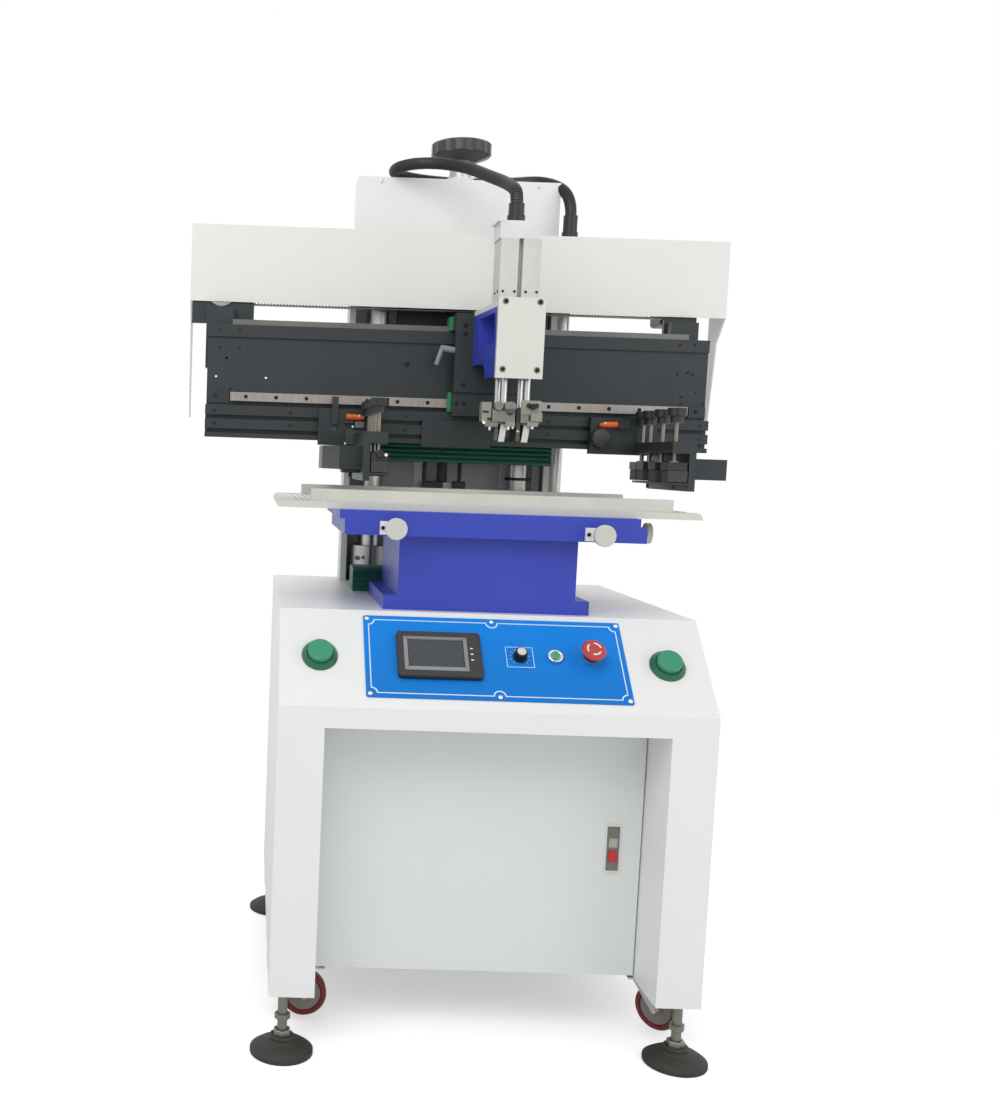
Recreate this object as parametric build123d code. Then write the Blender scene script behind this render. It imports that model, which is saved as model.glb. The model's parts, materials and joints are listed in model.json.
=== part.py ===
from build123d import *
import math
import os

# Semi-automatic solder paste printer on a sheet-steel cabinet.
# Millimetres. X runs to the machine's right, +Z is up, and the front faces -Y.
# Lengths called "..._y" are measured back from the cabinet's front face, and every
# piece is moved to the common origin, the floor under the cabinet's middle, at export.

# Cabinet
cabinet_width = 700.0
cabinet_depth = 700.0
cabinet_top_z = 722.0
leg_bottom_z = 106.0
slope_rise = 139.0
slope_run = 132.0
sheet = 3.0
leg_width = 74.0
recess_depth = 112.0
lintel_bottom_z = 549.0

# Door and its lock
door_thickness = 20.0
door_gap = 2.0
door_stop = (12.0, 4.0)
door_hinge_gap = 6.0
door_pin_radius = 4.0
door_pin_inset = 6.0
lock_size = (25.0, 82.0)
lock_centre = (226.0, 333.0)
lock_proud = 3.0

# Levelling feet
foot_inset = (25.0, 33.0)
pad_radius = 52.0
pad_height = 22.0
stem_radius = 8.0
stem_nut_radius = 13.0

# Castors
castor_wheel_radius = 39.0
castor_wheel_width = 25.0
castor_wheel_z = 50.0
castor_inset = (40.0, 147.0)
castor_trail = 25.0
castor_turns = (0.0, -45.0, 0.0, 180.0)
castor_plate = (80.0, 60.0)
castor_axle_radius = 5.0
castor_sheet = 4.0
castor_play = 0.3
castor_boss_radius = 18.0
castor_kingpin_radius = 6.0
castor_cheek = 3.0
castor_cheek_gap = 2.0

# Control plate and what is on it, measured along the slope from its lower edge
plate_centre = (3.0, 100.0)
plate_size = (428.0, 160.0)
plate_thickness = 2.0
screen_centre = (-90.0, 100.0)
screen_size = (137.0, 88.0)
screen_thickness = 11.0
screen_glass = (104.0, 66.0)
screen_glass_shift = -6.0
speed_at = (43.0, 105.0)
indicator_at = (100.0, 105.0)
stop_at = (158.0, 105.0)
button_fit = 0.5
button_stem_depth = 6.0
start_button_at = (284.0, 97.5)
start_collar_radius = 29.5
start_collar_height = 9.0
start_collar_floor = 3.0
start_cap_radius = 20.5
start_cap_z = (8.5, 19.0)
start_stem_radius = 12.0
stop_collar_radius = 14.0
stop_collar_height = 11.0
stop_stem_radius = 8.0
stop_cap_radius = 20.0
stop_travel = 4.0

# Blue pedestal and table plates
pedestal_flange = (350.0, 154.0, 400.0)
pedestal_flange_thickness = 24.0
pedestal_width = 302.0
pedestal_height = 127.0
pedestal_top_z = cabinet_top_z + pedestal_height
lower_plate_x = (-247.0, 257.0)
lower_plate_thickness = 26.0
upper_plate_x = (-256.0, 246.0)
upper_plate_thickness = 15.0
table_plates_y = (125.0, 445.0)

# Adjusting screws of the table
adjuster_z = pedestal_top_z + lower_plate_thickness / 2
adjuster_x = (-165.0, 177.0)
adjuster_block = (42.0, 8.0, 22.0)
adjuster_block_shift = -3.0
adjuster_knob_radius = 18.0
adjuster_knob_thickness = 10.0
adjuster_stand_off = 19.0
adjuster_shaft_radius = 5.0
side_adjuster_y = 222.0

# Board table and its rails
table_width = 716.0
table_y = (152.0, cabinet_depth - 105.0)
table_thickness = 11.6
table_chamfer = 6.0
table_hole_radius = 3.5
table_hole_pitch = 60.0
table_hole_inset = 20.0
rail_height = 20.0
rail_seat = 1.0
rail_seat_gap = 0.3
front_rail_x = (-301.0, 318.0)
front_rail_y = (table_y[0] + 30.0, table_y[0] + 60.0)
rear_rail_x = (-303.0, 340.0)
rear_rail_y = (table_y[1] - 60.0, table_y[1] - 30.0)
rail_groove = (8.0, 6.0)

# Guide columns, their collars, and the upright cable tube
column_x = 153.0
column_y = cabinet_depth - 45.0
column_radius = 22.5
column_top_z = 1480.0
collar_radius = 41.0
collar_height = 74.0
collar_slot = 4.0
collar_bolt_radius = 4.5
slide_fit = 0.1
tube_x = 231.0
tube_y = column_y
tube_radius = 13.0
tube_wall = 2.0
tube_top_z = 1330.0
tube_flange = (20.0, 5.0)

# Rear housing behind the columns
housing_half_width = 213.0
housing_front_y = column_y - 25.0
housing_lip = 12.0
housing_top_z = 1335.0
housing_ribs = ((-60.0, -36.0), (121.0, 139.0), (190.0, 207.0))
housing_rib_depth = 10.0

# Lift cylinder
lift_x = -6.0
lift_body = (84.0, 50.0)
lift_top_z = 932.0
lift_cap_height = 27.0
lift_rod_radius = 10.5
lift_guide_radius = 4.0
lift_guide_offset = 37.0
lift_rod_end_z = 800.0

# Pleated bellows
bellows_pleats = 5
lower_bellows_x = (-204.0, 204.0)
lower_bellows_y = (424.0, 500.0)
lower_bellows_height = 46.0
upper_bellows_x = (-168.0, 198.0)
upper_bellows_y = (column_y - 99.0, column_y - 47.0)
upper_bellows_height = 47.0
pleat_depth = 7.0

# Head: the black beam with its rails
beam_x = (-498.5, 490.5)
beam_y = (column_y - 125.0, column_y - 105.0)
beam_z = (1011.0, 1230.0)
beam_strip = (24.0, 5.0)
beam_hole_radius = 2.5
beam_holes = ((-481.0, 1129.0), (-382.0, 1129.0), (-461.0, 1165.0), (370.0, 1128.0), (470.0, 1127.0))
extrusion_x = (-499.5, 491.5)
extrusion_y = (beam_y[0] - 22.0, beam_y[0])
extrusion_z = (1009.0, 1072.0)
extrusion_slots_z = (1049.0, 1022.0)
slot_mouth = 8.0
slot_width = 15.0
slot_lip = 4.0
slot_depth = 13.0
rail_half_length = 451.0
lower_rail_z = (1081.0, 1098.0)
lower_rail_depth = 15.0
upper_rail_y = (beam_y[0] + 2.0, beam_y[1] - 2.0)
upper_rail_height = 11.0
rail_hole_pitch = 59.7
rail_hole_inset = 30.5
rail_hole_radius = 4.0
rail_hole_depth = 5.0

# Carrier on the columns
carrier_half_width = 195.0
carrier_y = (beam_y[1], column_y + 25.0)
carrier_z = (1020.0, 1225.0)
carrier_window = (96.0, 150.0)
upright_half_width = 110.0
upright_y = (column_y + 11.0, column_y + 25.0)

# White beam cover and top housing
skin = 2.5
cover_half_length = 538.0
cover_y = (column_y - 80.0, column_y - 33.0)
cover_z = (1280.0, 1431.0)
cover_end_foot_z = 1050.0
cover_end_y = (column_y - 42.0, column_y - 13.0, column_y + 5.0)
cover_end_knee_z = 1236.0
top_half_width = 206.0
top_y = (column_y - 25.0, column_y + 45.0)
top_z = (1350.0, 1547.0)

# Belt drive
bracket_y = (cover_y[0] + 5.0, cover_y[0] + 17.0)
left_bracket_x = (-cover_half_length + 4.0, -cover_half_length + 128.0)
right_bracket_x = (cover_half_length - 122.0, cover_half_length - 57.0)
bracket_foot = 55.0
bracket_bottom_z = 1237.0
pulley_x = (-cover_half_length + 62.0, cover_half_length - 90.0)
pulley_z = 1297.0
pulley_radius = 17.5
pulley_flange_radius = 27.0
pulley_flange = 1.5
belt_y = (bracket_y[1] + 2.0, bracket_y[1] + 18.0)
belt_thickness = 2.0
motor_size = 60.0
motor_length = 62.0

# Handwheel
handwheel_at = (4.0, column_y + 2.0)
handwheel_radius = 61.0
handwheel_z = (top_z[1] + 51.0, top_z[1] + 76.0)
handwheel_hub = (28.0, handwheel_z[0] - 12.0)
handwheel_flutes = 9
handwheel_flute_radius = 40.0
handwheel_flute_depth = 2.2
handwheel_shaft_radius = 22.5
handwheel_boss_radius = 28.0
handwheel_boss_height = 6.0

# Squeegee carriage
carriage_x = (-18.5, 130.0)
carriage_plate_y = (beam_y[0] - 48.0, beam_y[0] - 33.0)
carriage_z = (1110.7, 1262.0)
carriage_block_y = beam_y[0] - 4.0
lower_block_z = (1073.0, 1110.7)
lower_block_lip_z = 1065.0
lower_block_front_y = carriage_plate_y[0] + 7.0
upper_block_bottom_z = 1232.0
upper_block_y = beam_y[1] + 5.0
wiper_width = 6.5
belt_arm_x = (30.0, 80.0)
belt_arm_top_z = 1273.0
lever_z = 1201.0
bracket_rear_x = (16.0, 121.0)
bracket_front_x = (27.0, 109.0)
bracket_front_y = carriage_plate_y[0] - 172.0
bracket_top_z = 1256.0
bracket_rear_z = 1161.0
bracket_front_z = 1131.0
bracket_step_y = carriage_plate_y[0] - 72.0
bracket_arc = 25.0
window_y = (bracket_front_y + 20.0, bracket_front_y + 130.0)
window_z = (1193.0, 1246.0)
front_plate_x = (25.5, 110.0)
front_plate_z = (1127.5, 1270.5)
front_plate_thickness = 10.0
cap_plate_thickness = 9.0
cylinder_cover_x = (26.5, 98.5)
cylinder_cover_depth = 60.0
cylinder_cover_top_z = 1375.0
cylinder_cap_x = (24.0, 94.0)
cylinder_cap_height = 29.0
cylinder_lid = (5.0, 2.0)
cylinder_slot = (8.0, 15.0)

# Squeegees
squeegee_x = (50.5, 92.5)
squeegee_rods_y = (bracket_front_y + 30.0, bracket_front_y + 88.0)
squeegee_rod_radius = 6.0
squeegee_rod_top_z = 1205.0
squeegee_stroke = 48.0
holder_width = 22.0
holder_y = (bracket_front_y + 14.0, bracket_front_y + 104.0)
holder_z = (1046.0, 1078.0)
clamp_y = (bracket_front_y + 22.0, bracket_front_y + 90.0)
clamp_block = (12.0, 18.0)
blade_y = (bracket_front_y + 15.0, bracket_front_y + 75.0)
blade_thickness = 11.4
blade_drop = 32.0
blade_lean = 4.0

# Stencil arms
arm_front_y = extrusion_y[0] - 236.0
arm_gap = 0.3
arm_web = 12.0
arm_width = 43.0
arm_web_z = (936.0, 1024.0)
arm_flange_z = (1003.0, 1024.0)
arm_ledge_z = (947.0, 951.0)
left_arm_x = -207.0
right_arm_x = 385.0
clamp_stud_inset = (27.0, 33.0)
clamp_stud_y = tuple(arm_front_y + step for step in (18.0, 88.0, 156.0, 199.0))
stud_radius = 4.0
press_block = (34.0, 40.0)
press_block_z = (973.0, 987.0)
star_knob_radius = 16.5
star_knob_z = (1058.0, 1084.0)
star_knob_neck = (11.0, 12.0)
star_knob_lobes = 6
slide_plate_y = extrusion_y[0] - 18.0
slide_plate_z = (1000.0, 1071.0)
left_slide_reach = 70.0
right_slide_reach = 130.0
sensor_box_z = (955.0, 998.0)
sensor_box_reach = (38.7, 65.6)
sensor_box_chamfer = 70.0
sensor_box_y = arm_front_y + 58.0
tab_x = (left_arm_x - 45.0, left_arm_x - 33.0)
tab_z = (1040.0, 1094.0)
tab_depth = 8.0
switch_bar_z = (957.0, 995.0)
switch_bar_y = (arm_front_y + 50.0, arm_front_y + 62.0)
switch_bar_reach = 75.0
switch_bar_web = 12.0

# The corrugated conduit, one loop over the top housing to the cylinder cover, and its glands
conduit_radius = 11.5
gland_radius = 14.0
gland_nut = (16.0, 12.0)
head_conduit_points = (
    (221, 600, 1476), (221, 600, 1500), (212, 634, 1538), (178, 674, 1558), (126, 692, 1563), (66, 697, 1562),
    (6, 698, 1562), (-54, 697, 1563), (-100, 690, 1562), (-134, 658, 1562), (-132, 612, 1562), (-98, 588, 1566),
    (-48, 568, 1563), (-2, 522, 1547), (24, 460, 1521), (45, 402, 1503), (53, 344, 1484), (54.5, 330, 1462),
    (54.5, 330, 1439),
)

half_depth = cabinet_depth / 2
half_width = cabinet_width / 2


def block(x, y, z):
    """A box between two corners, each of x, y and z a low and a high value."""
    size = Box(x[1] - x[0], y[1] - y[0], z[1] - z[0])
    return Pos((x[0] + x[1]) / 2, (y[0] + y[1]) / 2, (z[0] + z[1]) / 2) * size


def post(x, y, z, radius):
    """A round bar along Z between two heights."""
    return Pos(x, y, (z[0] + z[1]) / 2) * Cylinder(radius, z[1] - z[0])


def bar_y(x, z, y, radius):
    """A round bar along Y."""
    return Pos(x, (y[0] + y[1]) / 2, z) * Rot(90, 0, 0) * Cylinder(radius, y[1] - y[0])


def bar_x(y, z, x, radius):
    """A round bar along X."""
    return Pos((x[0] + x[1]) / 2, y, z) * Rot(0, 90, 0) * Cylinder(radius, x[1] - x[0])


def section_x(points, x):
    """A Y-Z outline pushed along X between two values."""
    face = Plane.YZ.offset(x[0]) * Polygon(*points, align=None)
    return extrude(face, x[1] - x[0], dir=(1, 0, 0))


def mirror_x(shape):
    return mirror(shape, Plane.YZ)


slope_bottom_z = cabinet_top_z - slope_rise
slope_length = math.hypot(slope_run, slope_rise)
slope_plane = Plane(
    origin=(0, 0, slope_bottom_z), x_dir=(1, 0, 0), z_dir=(0, -slope_rise, slope_run)
)


def on_slope(at, shape, lift=0.0):
    """Seats a shape, modelled on z = 0, on the sloping panel."""
    return slope_plane * Pos(at[0], at[1], lift) * shape


# Cabinet shell

def cabinet_outline(inset):
    outline = Polygon(
        (0, leg_bottom_z), (0, slope_bottom_z), (slope_run, cabinet_top_z),
        (cabinet_depth, cabinet_top_z), (cabinet_depth, leg_bottom_z), align=None,
    )
    return outline if inset == 0 else offset(outline, -inset, kind=Kind.INTERSECTION)


def cabinet_prism(inset, x):
    return extrude(Plane.YZ.offset(x[0]) * cabinet_outline(inset), x[1] - x[0], dir=(1, 0, 0))


def cabinet_skin():
    ends = (-half_width, half_width)
    return cabinet_prism(0, ends) - cabinet_prism(sheet, ends)


opening_x = half_width - leg_width
foot_x = half_width - foot_inset[0]
feet_at = [(sx * foot_x, y) for y in (foot_inset[1], cabinet_depth - foot_inset[1]) for sx in (-1, 1)]
door_x = (-opening_x + door_hinge_gap, opening_x - door_gap)
door_y = (recess_depth, recess_depth + door_thickness)
door_z = (leg_bottom_z + sheet + door_gap, lintel_bottom_z - door_gap)
door_pin = (door_x[0] + door_pin_inset, door_y[0] + door_pin_inset)
pin_tab = 24.0


def front_frame():
    """Both front legs, the lintel, the recess and the sloping console, one welded sheet."""
    frame = cabinet_skin() & block((-half_width, half_width), (0, slope_run), (lintel_bottom_z, cabinet_top_z))
    for side in (-1, 1):
        outer, inner = sorted((side * half_width, side * opening_x))
        frame += block((outer, inner), (0, sheet), (leg_bottom_z, lintel_bottom_z))
        wall = sorted((side * opening_x, side * (opening_x + sheet)))
        frame += block(wall, (0, recess_depth), (leg_bottom_z, lintel_bottom_z + sheet))
        sole = sorted((side * opening_x, side * (half_width - sheet)))
        frame += block(sole, (sheet, recess_depth), (leg_bottom_z, leg_bottom_z + sheet))
    frame += block((-opening_x, opening_x), (sheet, recess_depth), (lintel_bottom_z, lintel_bottom_z + sheet))
    frame += block(
        (-opening_x - sheet, -opening_x + pin_tab), (recess_depth - sheet, door_y[1]),
        (lintel_bottom_z, lintel_bottom_z + sheet),
    )
    stop_width, stop_gap = door_stop
    back_y = door_y[1] + stop_gap
    stop_z = (leg_bottom_z + sheet, lintel_bottom_z + sheet)
    frame += block((opening_x, opening_x + sheet), (recess_depth, back_y), stop_z)
    frame += block((opening_x - stop_width, opening_x), (back_y - sheet, back_y), stop_z)
    for x, y in feet_at[:2]:
        frame -= post(x, y, (leg_bottom_z - 1, leg_bottom_z + sheet + 1), stem_radius + slide_fit)
    for at, radius in (
        ((-start_button_at[0], start_button_at[1]), start_stem_radius), (start_button_at, start_stem_radius),
        (stop_at, stop_stem_radius),
    ):
        frame -= on_slope(at, Cylinder(radius + button_fit, 4 * sheet))
    return frame - post(*door_pin, (lintel_bottom_z - 1, lintel_bottom_z + sheet + 1), door_pin_radius + slide_fit)


def side_panels():
    left = cabinet_prism(sheet, (-half_width, -half_width + sheet))
    return [left, mirror_x(left)]


def rear_panel():
    return block(
        (-half_width, half_width), (cabinet_depth - sheet, cabinet_depth), (leg_bottom_z, cabinet_top_z - sheet)
    )


def cabinet_top():
    return block(
        (-half_width, half_width), (slope_run, cabinet_depth), (cabinet_top_z - sheet, cabinet_top_z)
    )


def cabinet_floor():
    inner = half_width - sheet
    floor = block((-inner, inner), (recess_depth, cabinet_depth - sheet), (leg_bottom_z, leg_bottom_z + sheet))
    floor -= block(
        (-opening_x + pin_tab, opening_x), (recess_depth - 1, door_y[1] + door_gap),
        (leg_bottom_z - 1, leg_bottom_z + sheet + 1),
    )
    for x, y in feet_at[2:]:
        floor -= post(x, y, (leg_bottom_z - 1, leg_bottom_z + sheet + 1), stem_radius + slide_fit)
    return floor - post(*door_pin, (leg_bottom_z - 1, leg_bottom_z + sheet + 1), door_pin_radius + slide_fit)


def door():
    """A folded pan with solid hinge corners and the lock's flat body on its face."""
    panel = block(door_x, door_y, door_z)
    panel -= block(
        (door_x[0] + sheet, door_x[1] - sheet), (door_y[0] + sheet, door_y[1] + 1),
        (door_z[0] + sheet, door_z[1] - sheet),
    )
    corner = 2 * door_pin_inset
    for z, pin in (
        ((door_z[0], door_z[0] + corner), (leg_bottom_z, door_z[0])),
        ((door_z[1] - corner, door_z[1]), (door_z[1], lintel_bottom_z + sheet)),
    ):
        panel += block((door_x[0], door_x[0] + corner), (door_y[0], door_y[0] + corner), z)
        panel += post(*door_pin, pin, door_pin_radius)
    lock = block(
        (lock_centre[0] - lock_size[0] / 2, lock_centre[0] + lock_size[0] / 2),
        (door_y[0] - lock_proud, door_y[0]),
        (lock_centre[1] - lock_size[1] / 2, lock_centre[1] + lock_size[1] / 2),
    )
    return panel + fillet(lock.edges().filter_by(Axis.Y), 3)


def levelling_foot(x, y):
    pad = Plane.XZ * Polygon(
        (0, 0), (pad_radius, 0), (pad_radius, 6), (pad_radius * 0.8, 13), (pad_radius * 0.5, pad_height - 3),
        (pad_radius * 0.42, pad_height), (stem_nut_radius, pad_height + 5), (stem_nut_radius, pad_height + 12),
        (stem_radius, pad_height + 12), (stem_radius, leg_bottom_z + 22), (0, leg_bottom_z + 22), align=None,
    )
    foot = revolve(pad, Axis.Z)
    for nut_z in (leg_bottom_z - 50, leg_bottom_z + sheet):
        nut = extrude(RegularPolygon(stem_nut_radius, 6), 9)
        foot += Pos(0, 0, nut_z) * nut
    return Pos(x, y, 0) * foot


def levelling_feet():
    return [levelling_foot(x, y) for x, y in feet_at]


# Castors, each at rest turned its own way

castor_x = half_width - castor_inset[0]
castor_at = {
    "front_left": (-castor_x, castor_inset[1], castor_turns[0]),
    "front_right": (castor_x, castor_inset[1], castor_turns[1]),
    "rear_left": (-castor_x, cabinet_depth - castor_inset[1], castor_turns[2]),
    "rear_right": (castor_x, cabinet_depth - castor_inset[1], castor_turns[3]),
}
castor_crown_z = (
    castor_wheel_z + castor_wheel_radius + 3, castor_wheel_z + castor_wheel_radius + 3 + castor_sheet
)


def castor_plates():
    """Fixed top plates, each with the swivel boss that holds its fork's kingpin."""
    plates = []
    plate_x, plate_y = castor_plate[0] / 2, castor_plate[1] / 2
    for x, y, turn in castor_at.values():
        plate = block(
            (x - plate_x, x + plate_x), (y - plate_y, y + plate_y), (leg_bottom_z - castor_sheet, leg_bottom_z)
        )
        plate += post(x, y, (castor_crown_z[1] + castor_play, leg_bottom_z), castor_boss_radius)
        bore = (castor_crown_z[1], leg_bottom_z - 1)
        plates.append(plate - post(x, y, bore, castor_kingpin_radius + slide_fit))
    return plates


def castor_fork(x, y, turn):
    """The crown with its kingpin, and the two cheeks that hold the axle."""
    trail = castor_trail
    inner = castor_wheel_width / 2 + castor_cheek_gap
    outer = inner + castor_cheek
    heel = -castor_boss_radius
    crown_z = castor_crown_z[0]
    fork = block((heel, trail), (-outer, outer), castor_crown_z)
    fork += post(0, 0, (crown_z, leg_bottom_z - 2), castor_kingpin_radius)
    for high in (-inner, outer):
        cheek = Plane.XZ * Polygon(
            (heel, crown_z), (trail, crown_z), (trail + 9, castor_wheel_z),
            (trail, castor_wheel_z - 9), (trail - 9, castor_wheel_z), align=None,
        )
        fork += Pos(0, high, 0) * extrude(cheek, castor_cheek, dir=(0, -1, 0))
    fork += bar_y(trail, castor_wheel_z, (-outer - 3, outer + 3), castor_axle_radius)
    return Pos(x, y, 0) * Rot(0, 0, turn) * fork


def castor_wheel(x, y, turn):
    half = castor_wheel_width / 2
    bore = castor_axle_radius + slide_fit
    rim = castor_wheel_radius
    tyre = Plane.XZ * Polygon(
        (bore, -half), (12, -half), (12, -half + 4), (rim - 10, -half + 4),
        (rim - 8, -half + 1), (rim - 3, -half + 1), (rim, -half + 5),
        (rim, half - 5), (rim - 3, half - 1), (rim - 8, half - 1),
        (rim - 10, half - 4), (12, half - 4), (12, half), (bore, half), align=None,
    )
    wheel = Rot(90, 0, 0) * revolve(tyre, Axis.Z)
    return Pos(x, y, 0) * Rot(0, 0, turn) * Pos(castor_trail, 0, castor_wheel_z) * wheel


# Controls on the sloping panel

def control_plate():
    plate = extrude(RectangleRounded(*plate_size, 4), plate_thickness)
    plate = on_slope(plate_centre, plate)
    for at, radius in ((speed_at, 4), (indicator_at, 9), (stop_at, 9)):
        plate -= on_slope(at, Pos(0, 0, plate_thickness / 2) * Cylinder(radius, 3 * plate_thickness))
    return plate


def touch_screen():
    bezel = extrude(RectangleRounded(*screen_size, 6), screen_thickness)
    bezel = chamfer(bezel.faces().sort_by(Axis.Z)[-1].edges(), 2)
    glass = Pos(screen_glass_shift, 0, screen_thickness - 1.5) * extrude(Rectangle(*screen_glass), 2)
    return on_slope(screen_centre, bezel - glass, plate_thickness)


def ring(outer, inner, height):
    return extrude(Circle(outer) - Circle(inner), height)


def button_bezels():
    """Fixed collars of the two start buttons, the indicator lamp and the stop button."""
    bore = start_stem_radius + button_fit
    cup = start_cap_radius + 2 * button_fit
    outline = Plane.XZ * Polygon(
        (bore, 0), (start_collar_radius, 0), (start_collar_radius, 2),
        (start_collar_radius - 5.5, start_collar_height), (cup, start_collar_height),
        (cup, start_collar_floor), (bore, start_collar_floor), align=None,
    )
    collar = revolve(outline, Axis.Z)
    lamp = extrude(Circle(12), 5) + Pos(0, 0, 5) * extrude(Circle(8.5), 3)
    lamp += Pos(0, 0, -plate_thickness) * extrude(Circle(8.5), plate_thickness)
    stop = ring(stop_collar_radius, stop_stem_radius + button_fit, stop_collar_height)
    return [
        on_slope((-start_button_at[0], start_button_at[1]), collar),
        on_slope(start_button_at, collar),
        on_slope(indicator_at, lamp, plate_thickness),
        on_slope(stop_at, stop, plate_thickness),
    ]


def start_button(side):
    """A wide round cap in its collar's cup, on a stem that goes down through the sheet."""
    cap = Pos(0, 0, start_cap_z[0]) * extrude(Circle(start_cap_radius), start_cap_z[1] - start_cap_z[0])
    cap = fillet(cap.edges().group_by(Axis.Z)[-1], 2.5)
    stem = Pos(0, 0, -button_stem_depth) * extrude(Circle(start_stem_radius), start_cap_z[0] + button_stem_depth)
    return on_slope((side * start_button_at[0], start_button_at[1]), cap + stem)


def emergency_stop():
    """A mushroom head, flared towards the rim, on a stem that goes down through the sheet."""
    cap_z = stop_collar_height + stop_travel + 1
    foot = -button_stem_depth - plate_thickness
    outline = Plane.XZ * Polygon(
        (0, foot), (stop_stem_radius, foot), (stop_stem_radius, cap_z), (12, cap_z), (stop_cap_radius - 1, cap_z + 8),
        (stop_cap_radius, cap_z + 11), (stop_cap_radius - 3, cap_z + 14), (0, cap_z + 15), align=None,
    )
    return on_slope(stop_at, revolve(outline, Axis.Z), plate_thickness)


def speed_knob():
    knob = extrude(Circle(11.5), 4) + Pos(0, 0, 4) * extrude(Circle(9), 12)
    knob = Pos(0, 0, 0.5) * knob + Pos(0, 0, -plate_thickness) * extrude(Circle(3.5), plate_thickness + 1)
    knob -= Pos(0, 6, 16.5) * Box(1.6, 8, 1.5)
    return on_slope(speed_at, knob, plate_thickness)


# Pedestal and board table

plates_z = (
    pedestal_top_z, pedestal_top_z + lower_plate_thickness,
    pedestal_top_z + lower_plate_thickness + upper_plate_thickness,
)
table_z = (plates_z[2], plates_z[2] + table_thickness)


def pedestal():
    width, front, back = pedestal_flange
    flange = block(
        (-width / 2, width / 2), (front, back), (cabinet_top_z, cabinet_top_z + pedestal_flange_thickness)
    )
    half = pedestal_width / 2
    return flange + block((-half, half), (front, back), (cabinet_top_z, pedestal_top_z))


def table_plates():
    """The lower and upper blue plates under the board table."""
    return [block(lower_plate_x, table_plates_y, plates_z[0:2]), block(upper_plate_x, table_plates_y, plates_z[1:3])]


def adjuster_blocks():
    """White bearing blocks of the two front screws and the one at the right side."""
    width, depth, height = adjuster_block
    front = table_plates_y[0]
    blocks = []
    for x in adjuster_x:
        centre = x + adjuster_block_shift
        piece = block(
            (centre - width / 2, centre + width / 2), (front - depth, front),
            (adjuster_z - height / 2, adjuster_z + height / 2),
        )
        blocks.append(piece - bar_y(x, adjuster_z, (front - depth - 1, front + 1), adjuster_shaft_radius + slide_fit))
    side = lower_plate_x[1]
    piece = block(
        (side, side + depth), (side_adjuster_y - width / 2, side_adjuster_y + width / 2),
        (adjuster_z - height / 2, adjuster_z + height / 2),
    )
    piece -= bar_x(side_adjuster_y, adjuster_z, (side - 1, side + depth + 1), adjuster_shaft_radius + slide_fit)
    return blocks + [piece]


def adjusting_knob():
    """A disc knob on its screw, along +Z from the block's face, with its shaft behind it."""
    depth = adjuster_block[1]
    disc = Pos(0, 0, adjuster_stand_off) * extrude(Circle(adjuster_knob_radius), adjuster_knob_thickness)
    disc = fillet(disc.edges(), 1.5)
    shaft = Pos(0, 0, -depth + slide_fit) * extrude(Circle(adjuster_shaft_radius), adjuster_stand_off + depth)
    collar = Pos(0, 0, 2) * extrude(Circle(adjuster_shaft_radius + 4), 6)
    return disc + shaft + collar


def front_adjusting_knob(x):
    return Pos(x, table_plates_y[0] - adjuster_block[1], adjuster_z) * Rot(90, 0, 0) * adjusting_knob()


def side_adjusting_knob():
    return Pos(lower_plate_x[1] + adjuster_block[1], side_adjuster_y, adjuster_z) * Rot(0, 90, 0) * adjusting_knob()


def board_table():
    half = table_width / 2
    plate = block((-half, half), table_y, table_z)
    ends = plate.edges().filter_by(Axis.Y).group_by(Axis.Z)[-1]
    plate = chamfer(ends, table_chamfer)
    middle = (table_y[0] + table_y[1]) / 2
    for side in (-1, 1):
        for step in range(-3, 3):
            y = middle + (step + 0.5) * table_hole_pitch
            x = side * (half - table_hole_inset)
            plate -= post(x, y, (table_z[0] - 1, table_z[1] + 1), table_hole_radius)
    for rail in (front_rail_y, rear_rail_y):
        seat_y = (rail[0] - rail_seat_gap, rail[1] + rail_seat_gap)
        plate -= block((-half - 1, half + 1), seat_y, (table_z[1] - rail_seat, table_z[1] + 1))
    return plate


def table_rail(x, y):
    rail = block(x, y, (table_z[1] - rail_seat, table_z[1] + rail_height))
    middle = (y[0] + y[1]) / 2
    groove_width, groove_depth = rail_groove
    return rail - block(
        (x[0] - 1, x[1] + 1), (middle - groove_width / 2, middle + groove_width / 2),
        (table_z[1] + rail_height - groove_depth, table_z[1] + rail_height + 1),
    )


def table_rails():
    return [table_rail(front_rail_x, front_rail_y), table_rail(rear_rail_x, rear_rail_y)]


# Columns and rear housing

def guide_columns():
    """Two columns in split collars, and the upright cable tube beside them."""
    pieces = []
    for side in (-1, 1):
        x = side * column_x
        pieces.append(post(x, column_y, (cabinet_top_z, column_top_z), column_radius))
        collar = post(x, column_y, (cabinet_top_z, cabinet_top_z + collar_height), collar_radius)
        collar -= post(x, column_y, (cabinet_top_z - 1, cabinet_top_z + collar_height + 1), column_radius + slide_fit)
        collar -= block(
            (x - collar_slot / 2, x + collar_slot / 2), (column_y - collar_radius - 1, column_y),
            (cabinet_top_z + 10, cabinet_top_z + collar_height + 1),
        )
        bolt_z = cabinet_top_z + collar_height * 0.65
        bolt_y = column_y - (collar_radius + column_radius) / 2
        collar -= bar_x(bolt_y, bolt_z, (x - collar_radius, x), collar_bolt_radius)
        pieces.append(collar)
    tube = post(tube_x, tube_y, (cabinet_top_z, tube_top_z), tube_radius)
    tube += post(tube_x, tube_y, (cabinet_top_z, cabinet_top_z + tube_flange[1]), tube_flange[0] - 3)
    return pieces + [tube - post(tube_x, tube_y, (cabinet_top_z + 20, tube_top_z + 1), tube_radius - tube_wall)]


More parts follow.
